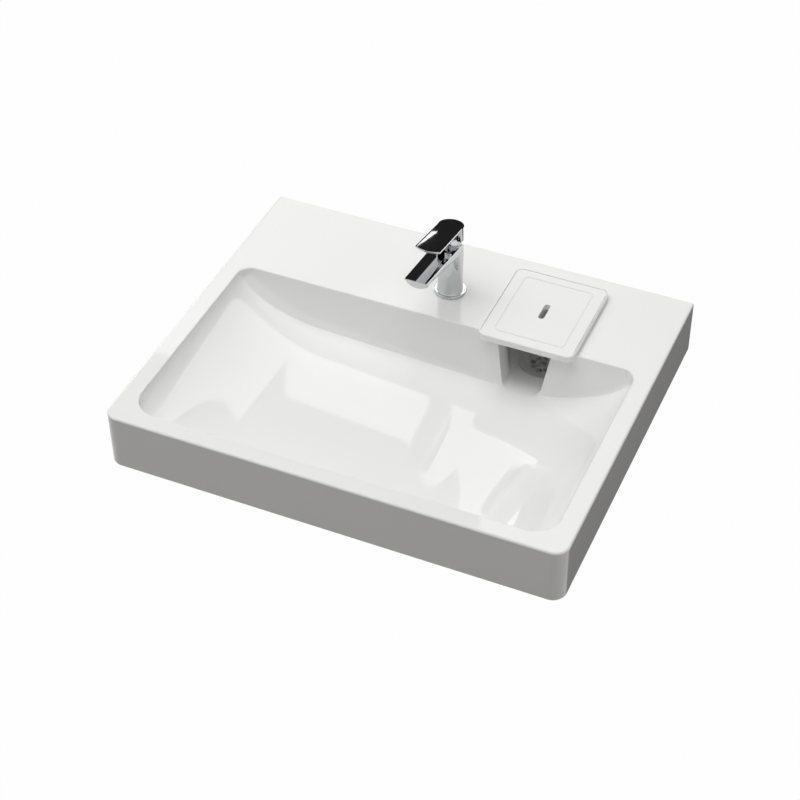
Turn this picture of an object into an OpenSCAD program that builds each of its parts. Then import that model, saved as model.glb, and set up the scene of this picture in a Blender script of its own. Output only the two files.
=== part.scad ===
// Wall-hung washbasin with a rear ledge, a single-lever tap and a lidded drain well.
// Millimetres. X runs along the wall, Y points into the wall, Z up.
// The origin is midway between the two wall bolts, on the face that meets the wall.

/* [Basin body] */
// Width of the basin along the wall
body_w = 600; // [580:5:680]
// Depth of the basin from the wall to the front
body_d = 490; // [475:5:540]
// Height of the outer apron
apron_h = 80; // [76:1:110]
// Radius of the two front corners, seen from above
corner_r = 18; // [8:1:24]
// Rounding of the body's long edges
edge_r = 3; // [1:0.5:5]
// Thickness of the apron walls
apron_t = 12; // [9:1:15]
// Thickness of the flat ledge behind the bowl
ledge_t = 14; // [11:1:17]
// Thickness of the bowl's shell
bowl_t = 9; // [7:0.5:11]

/* [Bowl] */
// Width of the rim at the left and the right
side_rim = 24.5; // [22:0.5:34]
// Width of the rim at the front
front_rim = 24; // [22:0.5:34]
// Depth of the flat ledge behind the bowl
ledge_d = 158; // [152:1:170]
// Depth of the bowl on its lowest line, in front of the channel
bowl_depth = 74.5; // [64:0.5:76]
// Fall of the floor towards the channel, on the long side
fall_long = 0.047; // [0.02:0.001:0.06]
// Fall of the floor towards the channel, on the short side
fall_short = 0.12; // [0.07:0.005:0.14]
// Length over which the floor sweeps up to the left and right rims
side_ramp = 130; // [90:5:150]
// Length over which the floor sweeps up to the front rim
front_ramp = 52; // [40:2:70]
// Lean of the bowl's rear wall, forward per unit of depth
wall_draft = 0.12; // [0.05:0.01:0.18]
// Radius of the bowl's front corners, seen from above
bowl_front_r = 34; // [20:1:45]
// Radius of the bowl's rear corners, seen from above
bowl_rear_r = 19; // [10:1:30]

/* [Drain well] */
// Distance of the well's centre from the middle of the basin
well_x = 131; // [115:1:140]
// Distance of the waste from the wall
waste_y = 98; // [92:1:104]
// Width of the well
well_w = 94; // [86:1:100]
// Distance of the well's rear side from the wall
well_rear = 45; // [40:1:50]
// Thickness of the wall between the bowl and the well
notch_wall = 12; // [9:1:15]
// Fall from the bowl's lowest line to the floor of the well
well_drop = 5.5; // [4:0.5:14]
// Radius of the well's upright corners
well_r = 12; // [6:1:18]
// Distance of the channel's middle from the middle of the basin
notch_x = 125.7; // [122:0.1:130]
// Width of the channel at the ledge
notch_w = 76; // [66:1:78]
// Narrowing of the channel on each side per unit of depth
notch_taper = 0.163; // [0.1:0.005:0.2]
// Radius of the waste hole
waste_hole_r = 23; // [22.8:0.1:25]
// Depth of the seat that takes the strainer
strainer_seat_t = 2.4; // [2:0.1:3.5]

/* [Wall fixing] */
// Distance between the two wall bolts
bolt_spacing = 280; // [200:10:320]
// Depth of the bolts' axis below the ledge
bolt_drop = 40; // [38:1:44]
// Outer radius of the sleeves in the bolt holes
sleeve_r = 9; // [8:0.5:11]
// Radius of the bore in each sleeve
sleeve_bore_r = 5.5; // [5:0.25:6.5]
// Thickness of the pads round the bolt holes
bolt_pad_t = 8; // [4:1:12]
// Radius of the pads round the bolt holes
bolt_pad_r = 20; // [17:1:22]
// Radius of the sleeves' flange
sleeve_flange_r = 14; // [12:0.5:16]
// Thickness of the sleeves' flange
sleeve_flange_t = 3; // [2:0.5:5]

/* [Lid] */
// Width of the lid
lid_w = 128; // [124:1:140]
// Length of the lid from front to rear
lid_l = 147; // [142:1:152]
// Thickness of the lid
lid_t = 9; // [7:0.5:12]
// Distance of the lid's rear edge from the wall
lid_rear = 30; // [26:1:33]
// Radius of the lid's corners
lid_r = 10; // [5:1:14]
// Rounding of the lid's upper edge
lid_edge = 3; // [1:0.5:3.5]
// Width of the framed field in the lid
field_w = 95; // [80:1:100]
// Length of the framed field in the lid
field_l = 118; // [100:1:122]
// Radius of the framed field's corners
field_r = 6; // [3:1:9]
// Width of the line round the field
line_w = 1.2; // [0.8:0.1:2]
// Depth of the line round the field
line_t = 0.8; // [0.4:0.1:1.5]
// Width of the finger slot
slot_w = 8; // [6:0.5:12]
// Length of the finger slot
slot_l = 30; // [24:1:40]
// Height of the ribs that locate the lid in the well
rib_h = 6; // [3:0.5:9]
// Thickness of the ribs
rib_t = 3; // [2:0.5:5]
// Sideways play of the ribs in the well
rib_gap = 1.2; // [0.8:0.1:3]
// Radius of the soft pads under the lid
pad_r = 4; // [3:0.5:4.5]
// Thickness of the soft pads under the lid
pad_t = 1.2; // [0.8:0.1:2]
// Inset of the pads from the lid's edges
pad_inset = 8; // [6:0.5:9]

/* [Waste] */
// Outer radius of the strainer's flange
strainer_r = 31.5; // [30:0.5:34]
// Thickness of the strainer's sheet
strainer_t = 1.2; // [0.8:0.1:1.5]
// Drop of the strainer's middle below its flange
strainer_dish = 4; // [3:0.5:5]
// Radius of the strainer's sunk middle
strainer_mid_r = 21; // [19:0.5:21.5]
// Number of drain holes in the strainer
drain_holes = 8; // [6:1:9]
// Radius of each drain hole
drain_hole_r = 3.8; // [2:0.1:4]
// Radius of the circle of drain holes
drain_ring_r = 13; // [12:0.5:14]
// Thickness of the seal under the basin
waste_seal_t = 3; // [2:0.5:5]
// Radius of the waste's collar under the basin
collar_r = 31; // [29:0.5:34]
// Thickness of the waste's collar
collar_t = 4; // [3:0.5:6]
// Outer radius of the waste's threaded tail
tail_r = 20.95; // [20:0.05:21.5]
// Wall thickness of the tail
tail_t = 3; // [2:0.25:4]
// Length of the tail below the collar
tail_l = 46; // [30:1:70]
// Radius of the screw that draws the waste together
waste_screw_r = 3; // [2.5:0.25:3.5]
// Radius of the screw's head
waste_head_r = 5.5; // [5:0.25:7]
// Height of the screw's head
waste_head_t = 2.5; // [2:0.25:3.5]
// Radius of the hub that takes the screw
hub_r = 7; // [6:0.5:9]
// Height of the hub
hub_h = 9; // [7:0.5:14]
// Width of the arms that carry the hub
arm_w = 4; // [3:0.5:6]

/* [Tap body] */
// Distance of the tap's axis from the wall
tap_y = 98; // [94:1:106]
// Offset of the tap's axis from the middle of the basin
tap_x = -2; // [-6:0.5:6]
// Radius of the tap hole in the ledge
tap_hole_r = 17; // [15:0.5:17.5]
// Radius of the tap's upright body
tap_r = 16.6; // [16.4:0.1:17.4]
// Radius of the body's flared foot
foot_r = 18.4; // [17.8:0.1:19.4]
// Height of the body's flared foot
foot_h = 16; // [6:1:24]
// Height of the body's slanted rear top above the ledge, at the axis
tap_h = 76.8; // [75:0.2:77.4]
// Rise of the body's slanted rear top per unit of reach
tap_slope = 0.5; // [0.45:0.01:0.52]
// Outer radius of the base ring
ring_r = 21; // [20.5:0.5:24]
// Radius of the opening in the base ring
ring_bore_r = 13; // [12.75:0.25:14]
// Thickness of the base ring
ring_t = 3; // [2:0.5:4]
// Rounding of the base ring's upper edge
ring_edge = 1.2; // [0.5:0.1:1.8]
// Thickness of the seal under the base ring
base_seal_t = 0.8; // [0.5:0.1:1.5]
// Reach of the spout from the tap's axis
spout_reach = 115.5; // [105:0.5:130]
// Width of the spout at its tip
spout_tip_w = 30.6; // [28:0.2:32]
// Height of the spout's flat top above the ledge, at the axis
spout_z = 79.3; // [78.6:0.1:80.2]
// Rise of the spout's top per unit of reach
spout_rise = 0.168; // [0.15:0.002:0.18]
// Thickness of the spout at its tip
spout_tip_t = 13; // [12.5:0.25:14.5]
// Thickness of the spout at the body
spout_root_t = 28; // [27.75:0.25:30]
// Setback of the lower edge of the tip
tip_undercut = 4; // [1:0.5:6]
// Radius of the inlet threads in the body's base
inlet_r = 4.5; // [4:0.05:4.6]
// Length of the inlet threads
inlet_l = 14; // [10:1:18]
// Sideways distance of the inlets from the axis
inlet_x = 7; // [6.5:0.25:7.5]
// Forward distance of the inlets from the axis
inlet_s = 3; // [2:0.25:4]
// Radius of the body's inner waterways
port_r = 2.5; // [2:0.1:2.8]
// Radius of the spout's waterway
channel_r = 2.2; // [1.5:0.1:2.3]

/* [Cartridge] */
// Radius of the ceramic-disc cartridge
cart_r = 12.6; // [12:0.1:12.7]
// Height of the cartridge's seat above the ledge
cart_z = 44; // [42:0.5:44]
// Height of the cartridge's shoulder above its seat
cart_h = 17; // [16:0.25:17]
// Thickness of the seals under the cartridge
cart_seal_t = 1.5; // [1:0.25:2]
// Radius of the retaining nut
nut_r = 13.5; // [13.2:0.1:13.6]
// Radius of the hole in the retaining nut
nut_bore_r = 9.5; // [9.4:0.1:10]
// Height of the retaining nut
nut_h = 5.5; // [4.5:0.25:5.5]
// Radius of the cartridge's neck
cart_neck_r = 9.2; // [8:0.1:9.3]
// Height of the cartridge's neck
cart_neck_h = 4; // [3:0.5:5]
// Radius of the turning part's spigot
spigot_r = 5; // [4:0.25:6]
// Length of the turning part's spigot
spigot_l = 13; // [8:1:15]
// Radius of the turning part
rotor_r = 7.8; // [7.2:0.1:8.4]
// Height of the turning part's ears above the pin
ear_h = 4; // [3:0.25:4.5]
// Radius of the pin on the tilting axis
pin_r = 1.5; // [1:0.1:2]

/* [Lever] */
// Height of the tilting axis above the ledge
pivot_h = 80; // [79.5:0.25:80.5]
// Radius of the trim ball round the tilting axis
ball_r = 14.2; // [13.8:0.1:14.3]
// Radius of the trim's neck
neck_r = 12.3; // [11.8:0.1:12.4]
// Wall thickness of the trim
trim_t = 1.8; // [1.2:0.1:2]
// Radius of the opening in the trim ball
ball_hole_r = 10.5; // [10:0.1:10.8]
// Width of the lever's stem along the pin
stem_x = 6; // [5:0.25:6.5]
// Width of the lever's stem from front to rear
stem_y = 7; // [6:0.25:7.5]
// Height of the skirt's lower edge above the ledge, at the axis
skirt_h = 85; // [84.8:0.1:86]
// Rise of the skirt's lower edge per unit of length
skirt_rise = 0.2; // [0.14:0.01:0.2]
// Wall thickness of the skirt
skirt_t = 1.7; // [1.3:0.1:1.8]
// Forward reach of the skirt at its lower edge
skirt_s = 5.4; // [2:0.2:7]
// Length of the arch that joins the skirt to the blade
arch_l = 19; // [14:1:22]
// Height of the lever's top above the ledge, at the axis
lever_h = 106.2; // [106:0.2:109]
// Rise of the lever's top per unit of length
lever_rise = 0.2; // [0.18:0.01:0.24]
// Reach of the lever from the axis
lever_reach = 81.4; // [72:0.2:92]
// Width of the blade at its tip
blade_tip_w = 34.4; // [30:0.2:36]
// Depth of the curve of the blade's tip
blade_curve = 4.9; // [3:0.1:8]
// Thickness of the lever's roof
roof_t = 3.8; // [3:0.1:4]
// Thickness of the blade at its tip
blade_tip_t = 5.5; // [4:0.25:6.5]
// Thickness of the blade where it leaves the skirt
blade_root_t = 7; // [6:0.25:7]
// Thickness of the blade's and the spout's side edges
side_edge_t = 1.2; // [0.8:0.1:1.6]
// Radius of the boss that takes the stem
boss_r = 7.5; // [6.5:0.25:7.5]
// Height of the boss's lower face above the tilting axis
boss_up = 13.5; // [13.25:0.25:14]
// Radius of the grub screw that holds the lever
grub_r = 1.9; // [1.5:0.1:2]
// Radius of the indicator plug
plug_r = 2.4; // [2.1:0.1:2.5]

/* [Aerator] */
// Distance of the outlet behind the spout's tip
outlet_back = 15; // [14:0.5:20]
// Radius of the aerator's threaded sleeve
aer_r = 9.2; // [8.5:0.1:9.4]
// Radius of the aerator's rim
aer_rim_r = 10.2; // [9.8:0.1:10.6]
// Height of the aerator's rim
aer_rim_t = 1.6; // [1:0.1:2]
// Height of the aerator's threaded sleeve
aer_h = 5; // [4:0.25:5.25]
// Wall thickness of the aerator's sleeve
aer_wall = 1.2; // [0.8:0.1:1.6]
// Thickness of the seal above the aerator
aer_seal_t = 1; // [0.6:0.1:1.2]
// Radius of the jets in the insert
jet_r = 0.8; // [0.5:0.1:0.9]
// Distance between the rings of jets
jet_pitch = 2.9; // [2.4:0.1:3]

/* [Deck fixing] */
// Radius of the stud that holds the tap
stud_r = 4; // [3:0.25:4]
// Rearward distance of the stud from the tap's axis
stud_s = 8.5; // [8:0.25:8.75]
// Length of the stud below the ledge's top
stud_drop = 42; // [38:1:50]
// Length of the stud inside the tap's body
stud_in = 12; // [8:1:16]
// Outer radius of the horseshoe clamp
clamp_r = 23; // [21:0.5:26]
// Thickness of the clamp's rubber gasket
clamp_gasket_t = 3; // [2:0.5:4]
// Thickness of the clamp's steel plate
clamp_plate_t = 2.5; // [1.5:0.5:3]
// Half the width of the clamp's open mouth
clamp_mouth = 12; // [11.5:0.25:13]
// Rearward end of the clamp's mouth
clamp_back = 2.5; // [2:0.25:3]
// Height of the nut on the stud
clamp_nut_h = 12; // [8:1:14]
// Width of the nut across its flats
clamp_nut_w = 13; // [12:0.5:14]

/* [Hidden] */
$fn = 64;

// Clearances, and how far a cutting shape runs past what it cuts
run_gap = 0.05;
free_gap = 0.3;
over = 1;

// Thickness of the thin slices between which the spout and the blade are drawn
slice_t = 0.1;

// Heights of the basin
top_z = bolt_drop;
base_z = top_z - apron_h;
deck_z = top_z - ledge_t;
well_depth = bowl_depth + well_drop;
well_z = top_z - well_depth;
seat_z = well_z - strainer_seat_t;
under_z = seat_z - bowl_t;

// Lines of the bowl and the well, seen from above
bowl_left = -body_w / 2 + side_rim;
bowl_right = body_w / 2 - side_rim;
bowl_front = -body_d + front_rim;
bowl_rear = -ledge_d;
well_front = bowl_rear + notch_wall;
lid_y = -lid_rear - lid_l / 2;
lid_z = top_z + pad_t;

// Heights of the tap
foot_z = top_z + base_seal_t + ring_t;
cart_seat_z = top_z + cart_z;
cart_base_z = cart_seat_z + cart_seal_t;
shoulder_z = cart_base_z + cart_h;
nut_top_z = shoulder_z + nut_h;
cart_top_z = shoulder_z + cart_neck_h;
rotor_z = cart_top_z + free_gap;
pivot_z = top_z + pivot_h;
boss_z = pivot_z + boss_up;
skirt_in_r = tap_r - skirt_t;
stem_top_z = lever_top(0) - roof_t + free_gap;
grub_z = boss_z + grub_r + 2 * free_gap;

// Outlet of the spout
outlet_s = spout_reach - outlet_back;
low_s = spout_reach - tip_undercut;
under_rise = (spout_top(low_s) - spout_tip_t - spout_top(0) + spout_root_t) / low_s;
outlet_z = spout_under(outlet_s);
outlet_lean = atan(under_rise);

// Waterway from the cartridge's side to the space above the aerator
space_r = aer_r - 2 * aer_wall;
space_h = 2.2;
channel_cover = 1.5;
channel_z = shoulder_z - channel_r - channel_cover;
channel_s = outlet_s - space_r;
channel_rise = (spout_under(channel_s) + aer_rim_t + aer_h + aer_seal_t + over - channel_z)
    / (channel_s - cart_r);

// Heights on the spout and the lever, at a distance in front of the axis
function spout_top(s) = top_z + spout_z + spout_rise * s;
function spout_under(s) = spout_top(0) - spout_root_t + under_rise * s;
function lever_top(s) = top_z + lever_h + lever_rise * s;
function skirt_under(s) = top_z + skirt_h + skirt_rise * s;

// Depth of the bowl's floor, and the share of it that a ramp leaves near a rim
valley_w = 25;
function fall(t) = (fall_short - fall_long) / 2 * t
    + (fall_short + fall_long) / 2 * (sqrt(t * t + valley_w * valley_w) - valley_w);
function ramp(u, len) = u >= len ? 1 : sqrt(1 - pow(1 - u / len, 2));
function floor_depth(x) = (bowl_depth - fall(x - notch_x))
    * ramp(min(x - bowl_left, bowl_right - x) + lip, side_ramp + lip);

// The ramps start this far outside the opening, so that its edge stays upright
lip = 0.3;
ramp_steps = 14;
floor_steps = 8;
function steps(len) = [for (i = [1:ramp_steps]) len * (1 - cos(90 * i / ramp_steps))];
floor_l = bowl_right - bowl_left - 2 * side_ramp;
across = concat(
    [for (u = steps(side_ramp + lip)) bowl_left - lip + u],
    [for (i = [1:floor_steps - 1]) bowl_left + side_ramp + i * floor_l / floor_steps],
    [for (i = [ramp_steps - 1:-1:0]) bowl_right + lip - steps(side_ramp + lip)[i]],
    [bowl_right + lip]);

// Corner points of a rectangle that is rounded at the front and the rear
arc_steps = 8;
function arc(x, y, r, from) = [for (i = [0:arc_steps])
    [x + r * cos(from + 90 * i / arc_steps), y + r * sin(from + 90 * i / arc_steps)]];
function corner(x, y, r, sx, sy, from) = r > 0 ? arc(x - sx * r, y - sy * r, r, from) : [[x, y]];
function rounded(x0, y0, x1, y1, front_r, rear_r) = concat(
    corner(x0, y0, front_r, -1, -1, 180),
    corner(x1, y0, front_r, 1, -1, 270),
    corner(x1, y1, rear_r, 1, 1, 0),
    corner(x0, y1, rear_r, -1, 1, 90));

// Section of a flat bar with a crowned underside, from its top down
crown_steps = 12;
function crowned(w, t) = concat([[-w / 2, 0], [w / 2, 0]],
    [for (i = [0:crown_steps]) [w / 2 * cos(180 * i / crown_steps),
        -side_edge_t - (t - side_edge_t) * sin(180 * i / crown_steps)]]);

module prism_y(outline, y0, y1) {
    translate([0, y1, 0])
        rotate([90, 0, 0])
            linear_extrude(y1 - y0)
                polygon(outline);
}

module prism_x(outline, x0, x1) {
    translate([x0, 0, 0])
        rotate([90, 0, 90])
            linear_extrude(x1 - x0)
                polygon(outline);
}

module slab(outline, z0, z1) {
    translate([0, 0, z0])
        linear_extrude(z1 - z0)
            polygon(outline);
}

module disc(r, z0, z1) {
    translate([0, 0, z0])
        cylinder(r = r, h = z1 - z0);
}

module ring(r0, r1, z0, z1) {
    difference() {
        disc(r1, z0, z1);
        disc(r0, z0 - over, z1 + over);
    }
}

module box(x0, x1, y0, y1, z0, z1) {
    translate([x0, y0, z0])
        cube([x1 - x0, y1 - y0, z1 - z0]);
}

// A plate with rounded corners and soft long edges
module soft_plate(x0, y0, x1, y1, front_r, rear_r, z0, z1, low_edge, high_edge, rear_edge) {
    function side(a0, a1, e1) = concat(
        corner(a0, z0, low_edge, -1, -1, 180),
        corner(a1, z0, e1 * low_edge, 1, -1, 270),
        corner(a1, z1, e1 * high_edge, 1, 1, 0),
        corner(a0, z1, high_edge, -1, 1, 90));
    intersection() {
        slab(rounded(x0, y0, x1, y1, front_r, rear_r), z0 - over, z1 + over);
        prism_y(side(x0, x1, 1), y0 - over, y1 + over);
        prism_x(side(y0, y1, rear_edge), x0 - over, x1 + over);
    }
}

module at_tap() {
    translate([tap_x, -tap_y, 0])
        children();
}

module at_waste() {
    translate([well_x, -waste_y, 0])
        children();
}

module at_outlet() {
    translate([tap_x, -tap_y - outlet_s, outlet_z])
        rotate([-outlet_lean, 0, 0])
            children();
}

module at_bolts() {
    for (side = [-1, 1])
        translate([side * bolt_spacing / 2, 0, 0])
            rotate([90, 0, 0])
                children();
}

// Space of the bowl: the floor's profile drawn back to the wall, cut by the front sweep
module bowl_space() {
    high_z = top_z + over;
    deep = bowl_depth + over;
    front = steps(front_ramp + lip);
    intersection() {
        prism_y(concat(
            [[bowl_left - lip, high_z], [bowl_left - lip, top_z]],
            [for (x = across) [x, top_z - floor_depth(x)]],
            [[bowl_right + lip, high_z]]), bowl_front - over, bowl_rear + over);
        prism_x(concat(
            [[bowl_front - lip, high_z], [bowl_front - lip, top_z]],
            [for (u = front) [bowl_front - lip + u, top_z - deep * ramp(u, front_ramp + lip)]],
            [[bowl_rear - wall_draft * deep, top_z - deep],
            [bowl_rear + wall_draft * over, high_z]]), bowl_left - over, bowl_right + over);
        slab(rounded(bowl_left, bowl_front, bowl_right, bowl_rear, bowl_front_r, bowl_rear_r),
            base_z, high_z + over);
    }
}

// Outside of the bowl's shell
module bowl_shell() {
    stretch = 1 + 2 * bowl_t / (bowl_right - bowl_left);
    low_z = top_z - bowl_depth - bowl_t;
    high_z = deck_z + over;
    intersection() {
        prism_y(concat(
            [[bowl_left - bowl_t, high_z]],
            [for (x = across) [x * stretch, min(top_z - floor_depth(x) - bowl_t, high_z - slice_t)]],
            [[bowl_right + bowl_t, high_z]]), bowl_front - bowl_t, bowl_rear + bowl_t);
        prism_x(concat(
            [for (u = steps(front_ramp)) [bowl_front - bowl_t + u,
                top_z - (top_z - low_z) * ramp(u, front_ramp)]],
            [[bowl_rear + bowl_t, low_z], [bowl_rear + bowl_t, high_z], [bowl_front - bowl_t, high_z]]),
            bowl_left - bowl_t - over, bowl_right + bowl_t + over);
    }
}

module basin() {
    color("white")
        difference() {
            union() {
                difference() {
                    soft_plate(-body_w / 2, -body_d, body_w / 2, 0, corner_r, 0,
                        base_z, top_z, edge_r, edge_r, 0);
                    slab(rounded(-body_w / 2 + apron_t, -body_d + apron_t, body_w / 2 - apron_t,
                        -apron_t, corner_r / 2, 0), base_z - over, deck_z);
                }
                bowl_shell();
                well_shell();
                at_bolts()
                    disc(bolt_pad_r, apron_t - over, apron_t + bolt_pad_t);
            }
            bowl_space();
            well_space();
            at_bolts()
                disc(sleeve_r + run_gap, -over, apron_t + bolt_pad_t + over);
            at_tap()
                disc(tap_hole_r, deck_z - over, top_z + over);
            at_waste()
                disc(waste_hole_r, under_z - over, well_z + over);
            at_waste()
                disc(strainer_r + 2 * free_gap, seat_z, well_z + over);
        }
}

// Outside of the drain well's shell
module well_shell() {
    slab(rounded(well_x - well_w / 2 - bowl_t, bowl_rear - 2 * bowl_t, well_x + well_w / 2 + bowl_t,
        -well_rear + bowl_t, well_r + bowl_t, well_r + bowl_t), under_z, deck_z + over);
}

// Space of the drain well and of the channel that leads to it from the bowl
module well_space() {
    sill_y = bowl_rear - 1.6 * notch_wall;
    sill_z = top_z - bowl_depth + over;
    slab(rounded(well_x - well_w / 2, well_front, well_x + well_w / 2, -well_rear, well_r, well_r),
        well_z, top_z + over);
    intersection() {
        prism_y([
            [notch_x - notch_w / 2 - notch_taper * over, top_z + over],
            [notch_x + notch_w / 2 + notch_taper * over, top_z + over],
            [notch_x + notch_w / 2 - notch_taper * (well_depth + over), well_z - over],
            [notch_x - notch_w / 2 + notch_taper * (well_depth + over), well_z - over]],
            bowl_rear - 2 * notch_wall, well_front + well_r);
        prism_x([
            [sill_y, top_z + over],
            [sill_y, sill_z],
            [well_front + over, well_z + free_gap],
            [well_front + well_r - over, well_z + free_gap],
            [well_front + well_r - over, top_z + over]], notch_x - notch_w, notch_x + notch_w);
    }
}

module wall_bolt_sleeves() {
    end_y = apron_t + bolt_pad_t;
    set_back = 0.5;
    color("gainsboro")
        at_bolts()
            difference() {
                union() {
                    disc(sleeve_r, set_back, end_y + over);
                    disc(sleeve_flange_r, end_y, end_y + sleeve_flange_t);
                }
                disc(sleeve_bore_r, -over, end_y + sleeve_flange_t + over);
            }
}

module drain_lid() {
    x0 = well_x - lid_w / 2;
    x1 = well_x + lid_w / 2;
    y0 = lid_y - lid_l / 2;
    y1 = lid_y + lid_l / 2;
    high_z = lid_z + lid_t;
    rib_x = well_w / 2 - rib_gap - rib_t;
    rib_end = -well_rear - rib_gap;
    end_r = (slot_w - free_gap) / 2;
    color("white")
        difference() {
            union() {
                soft_plate(x0, y0, x1, y1, lid_r, lid_r, lid_z, high_z, 0, lid_edge, 1);
                for (side = [-1, 1])
                    translate([well_x + side * (rib_x + rib_t / 2), 0, 0])
                        box(-rib_t / 2, rib_t / 2, well_front + well_r, -well_rear - well_r,
                            top_z - rib_h, lid_z + over);
                box(well_x - rib_x + well_r, well_x + rib_x - well_r, rib_end - rib_t, rib_end,
                    top_z - rib_h, lid_z + over);
            }
            difference() {
                slab(rounded(well_x - field_w / 2, lid_y - field_l / 2, well_x + field_w / 2,
                    lid_y + field_l / 2, field_r, field_r), high_z - line_t, high_z + over);
                slab(rounded(well_x - field_w / 2 + line_w, lid_y - field_l / 2 + line_w,
                    well_x + field_w / 2 - line_w, lid_y + field_l / 2 - line_w,
                    field_r - line_w, field_r - line_w), high_z - line_t - over, high_z + 2 * over);
            }
            slab(rounded(well_x - slot_w / 2, lid_y - slot_l / 2, well_x + slot_w / 2,
                lid_y + slot_l / 2, end_r, end_r), lid_z - over, high_z + over);
        }
}

// Soft pads under the lid's four corners, where the lid lies on the ledge
module lid_pads() {
    color("lightgray")
        for (side = [-1, 1])
            for (y = [bowl_rear + pad_inset + over, -lid_rear - pad_inset])
                translate([well_x + side * (lid_w / 2 - pad_inset), y, 0])
                    disc(pad_r, top_z, lid_z);
}

module waste_strainer() {
    color("silver")
        at_waste()
            difference() {
                translate([0, 0, well_z])
                    rotate_extrude()
                        polygon([
                            [0, -strainer_dish - strainer_t],
                            [strainer_mid_r, -strainer_dish - strainer_t],
                            [strainer_mid_r, -strainer_t],
                            [strainer_r, -strainer_t],
                            [strainer_r, 0],
                            [strainer_mid_r - strainer_t, 0],
                            [strainer_mid_r - strainer_t, -strainer_dish],
                            [0, -strainer_dish]]);
                disc(waste_screw_r + run_gap, under_z, well_z);
                for (i = [1:drain_holes])
                    rotate([0, 0, 360 * i / drain_holes])
                        translate([drain_ring_r, 0, 0])
                            disc(drain_hole_r, under_z, well_z + over);
            }
}

module waste_flange_gasket() {
    color("dimgray")
        at_waste()
            ring(waste_hole_r + over, strainer_r - over / 2, seat_z, well_z - strainer_t);
}

module waste_seal() {
    color("dimgray")
        at_waste()
            ring(waste_hole_r + over / 2, collar_r, under_z - waste_seal_t, under_z);
}

module waste_body() {
    high_z = under_z - waste_seal_t;
    low_z = high_z - collar_t - tail_l;
    throat_r = waste_hole_r - 2 * free_gap;
    color("whitesmoke")
        at_waste() {
            difference() {
                union() {
                    disc(collar_r, high_z - collar_t, high_z);
                    disc(tail_r, low_z, high_z - over);
                    disc(throat_r, high_z - over, well_z - strainer_dish - strainer_t - free_gap);
                }
                disc(tail_r - tail_t, low_z - over, high_z - collar_t);
                disc(throat_r - over, high_z - collar_t - run_gap, well_z);
            }
            difference() {
                union() {
                    disc(hub_r, high_z - hub_h, high_z);
                    for (turn = [0, 90])
                        rotate([0, 0, turn])
                            box(-throat_r + over / 2, throat_r - over / 2, -arm_w / 2, arm_w / 2,
                                high_z - collar_t, high_z);
                }
                disc(waste_screw_r + run_gap, high_z - hub_h - over, high_z + over);
            }
        }
}

module waste_screw() {
    plate_z = well_z - strainer_dish;
    end_z = under_z - waste_seal_t - hub_h - over;
    drive_w = 1.2;
    drive_t = 1.2;
    color("silver")
        at_waste()
            difference() {
                union() {
                    disc(waste_screw_r, end_z, plate_z + over);
                    disc(waste_head_r, plate_z, plate_z + waste_head_t);
                }
                box(-waste_head_r - over, waste_head_r + over, -drive_w / 2, drive_w / 2,
                    plate_z + waste_head_t - drive_t, plate_z + waste_head_t + over);
            }
}

module tap_base_seal() {
    color("dimgray")
        at_tap()
            ring(ring_bore_r + over, ring_r - over, top_z, top_z + base_seal_t);
}

module tap_base_ring() {
    low_z = top_z + base_seal_t;
    bevel = 0.3 * ring_edge;
    color("silver")
        at_tap()
            rotate_extrude()
                polygon([
                    [ring_bore_r, low_z],
                    [ring_r, low_z],
                    [ring_r, foot_z - ring_edge],
                    [ring_r - bevel, foot_z - bevel],
                    [ring_r - ring_edge, foot_z],
                    [ring_bore_r, foot_z]]);
}

// A thin slice of a crowned bar, square to the axis of reach
module slice(s, w, t, high_z) {
    translate([0, -s, high_z])
        rotate([90, 0, 0])
            linear_extrude(slice_t)
                polygon(crowned(w, t));
}

module spout_form() {
    tip = spout_reach - slice_t;
    hull() {
        slice(0, 2 * tap_r, spout_root_t, spout_top(0));
        slice(low_s, spout_tip_w, spout_tip_t, spout_top(low_s));
        slice(tip, spout_tip_w - over, 2 * side_edge_t, spout_top(tip));
    }
}

// Foot of the body, which flares to the base ring
module foot_form() {
    foot_steps = 8;
    rotate_extrude()
        polygon(concat(
            [[0, foot_z]],
            [for (i = [0:foot_steps]) [foot_r - (foot_r - tap_r) * sin(90 * i / foot_steps),
                foot_z + foot_h * (1 - cos(90 * i / foot_steps))]],
            [[0, foot_z + foot_h]]));
}

// Space over the body's rear top, into which the skirt dips as the lever is raised
module skirt_space() {
    reach = 2 * tap_r;
    prism_x([
        [-reach, top_z + tap_h + tap_slope * reach],
        [reach, top_z + tap_h - tap_slope * reach],
        [reach, top_z + 2 * spout_z],
        [-reach, top_z + 2 * spout_z]], -reach, reach);
}

module waterways() {
    for (side = [-1, 1])
        translate([side * inlet_x, -inlet_s, 0]) {
            disc(inlet_r, foot_z - over, foot_z + inlet_l);
            disc(port_r, foot_z + inlet_l - over, cart_seat_z + over / 2);
        }
    translate([0, -cart_r, channel_z])
        rotate([90 - atan(channel_rise), 0, 0])
            cylinder(r = channel_r, h = (channel_s + over - cart_r) / cos(atan(channel_rise)));
}

module tap_body() {
    seat = aer_rim_t + aer_h + aer_seal_t;
    color("silver")
        difference() {
            at_tap()
                difference() {
                    union() {
                        disc(tap_r, foot_z, spout_top(0));
                        foot_form();
                        spout_form();
                    }
                    skirt_space();
                    disc(cart_r + 3 * run_gap, cart_seat_z, top_z + 2 * spout_z);
                    disc(nut_r + run_gap, shoulder_z - over, top_z + 2 * spout_z);
                    disc(ball_r + free_gap, nut_top_z, top_z + 2 * spout_z);
                    waterways();
                    translate([0, stud_s, 0])
                        disc(stud_r + run_gap, foot_z - over, foot_z + stud_in + over);
                }
            at_outlet() {
                disc(aer_rim_r + run_gap, -spout_tip_t, aer_rim_t);
                disc(aer_r + run_gap, -over, seat);
                disc(space_r, -over, seat + space_h);
            }
        }
}

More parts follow.
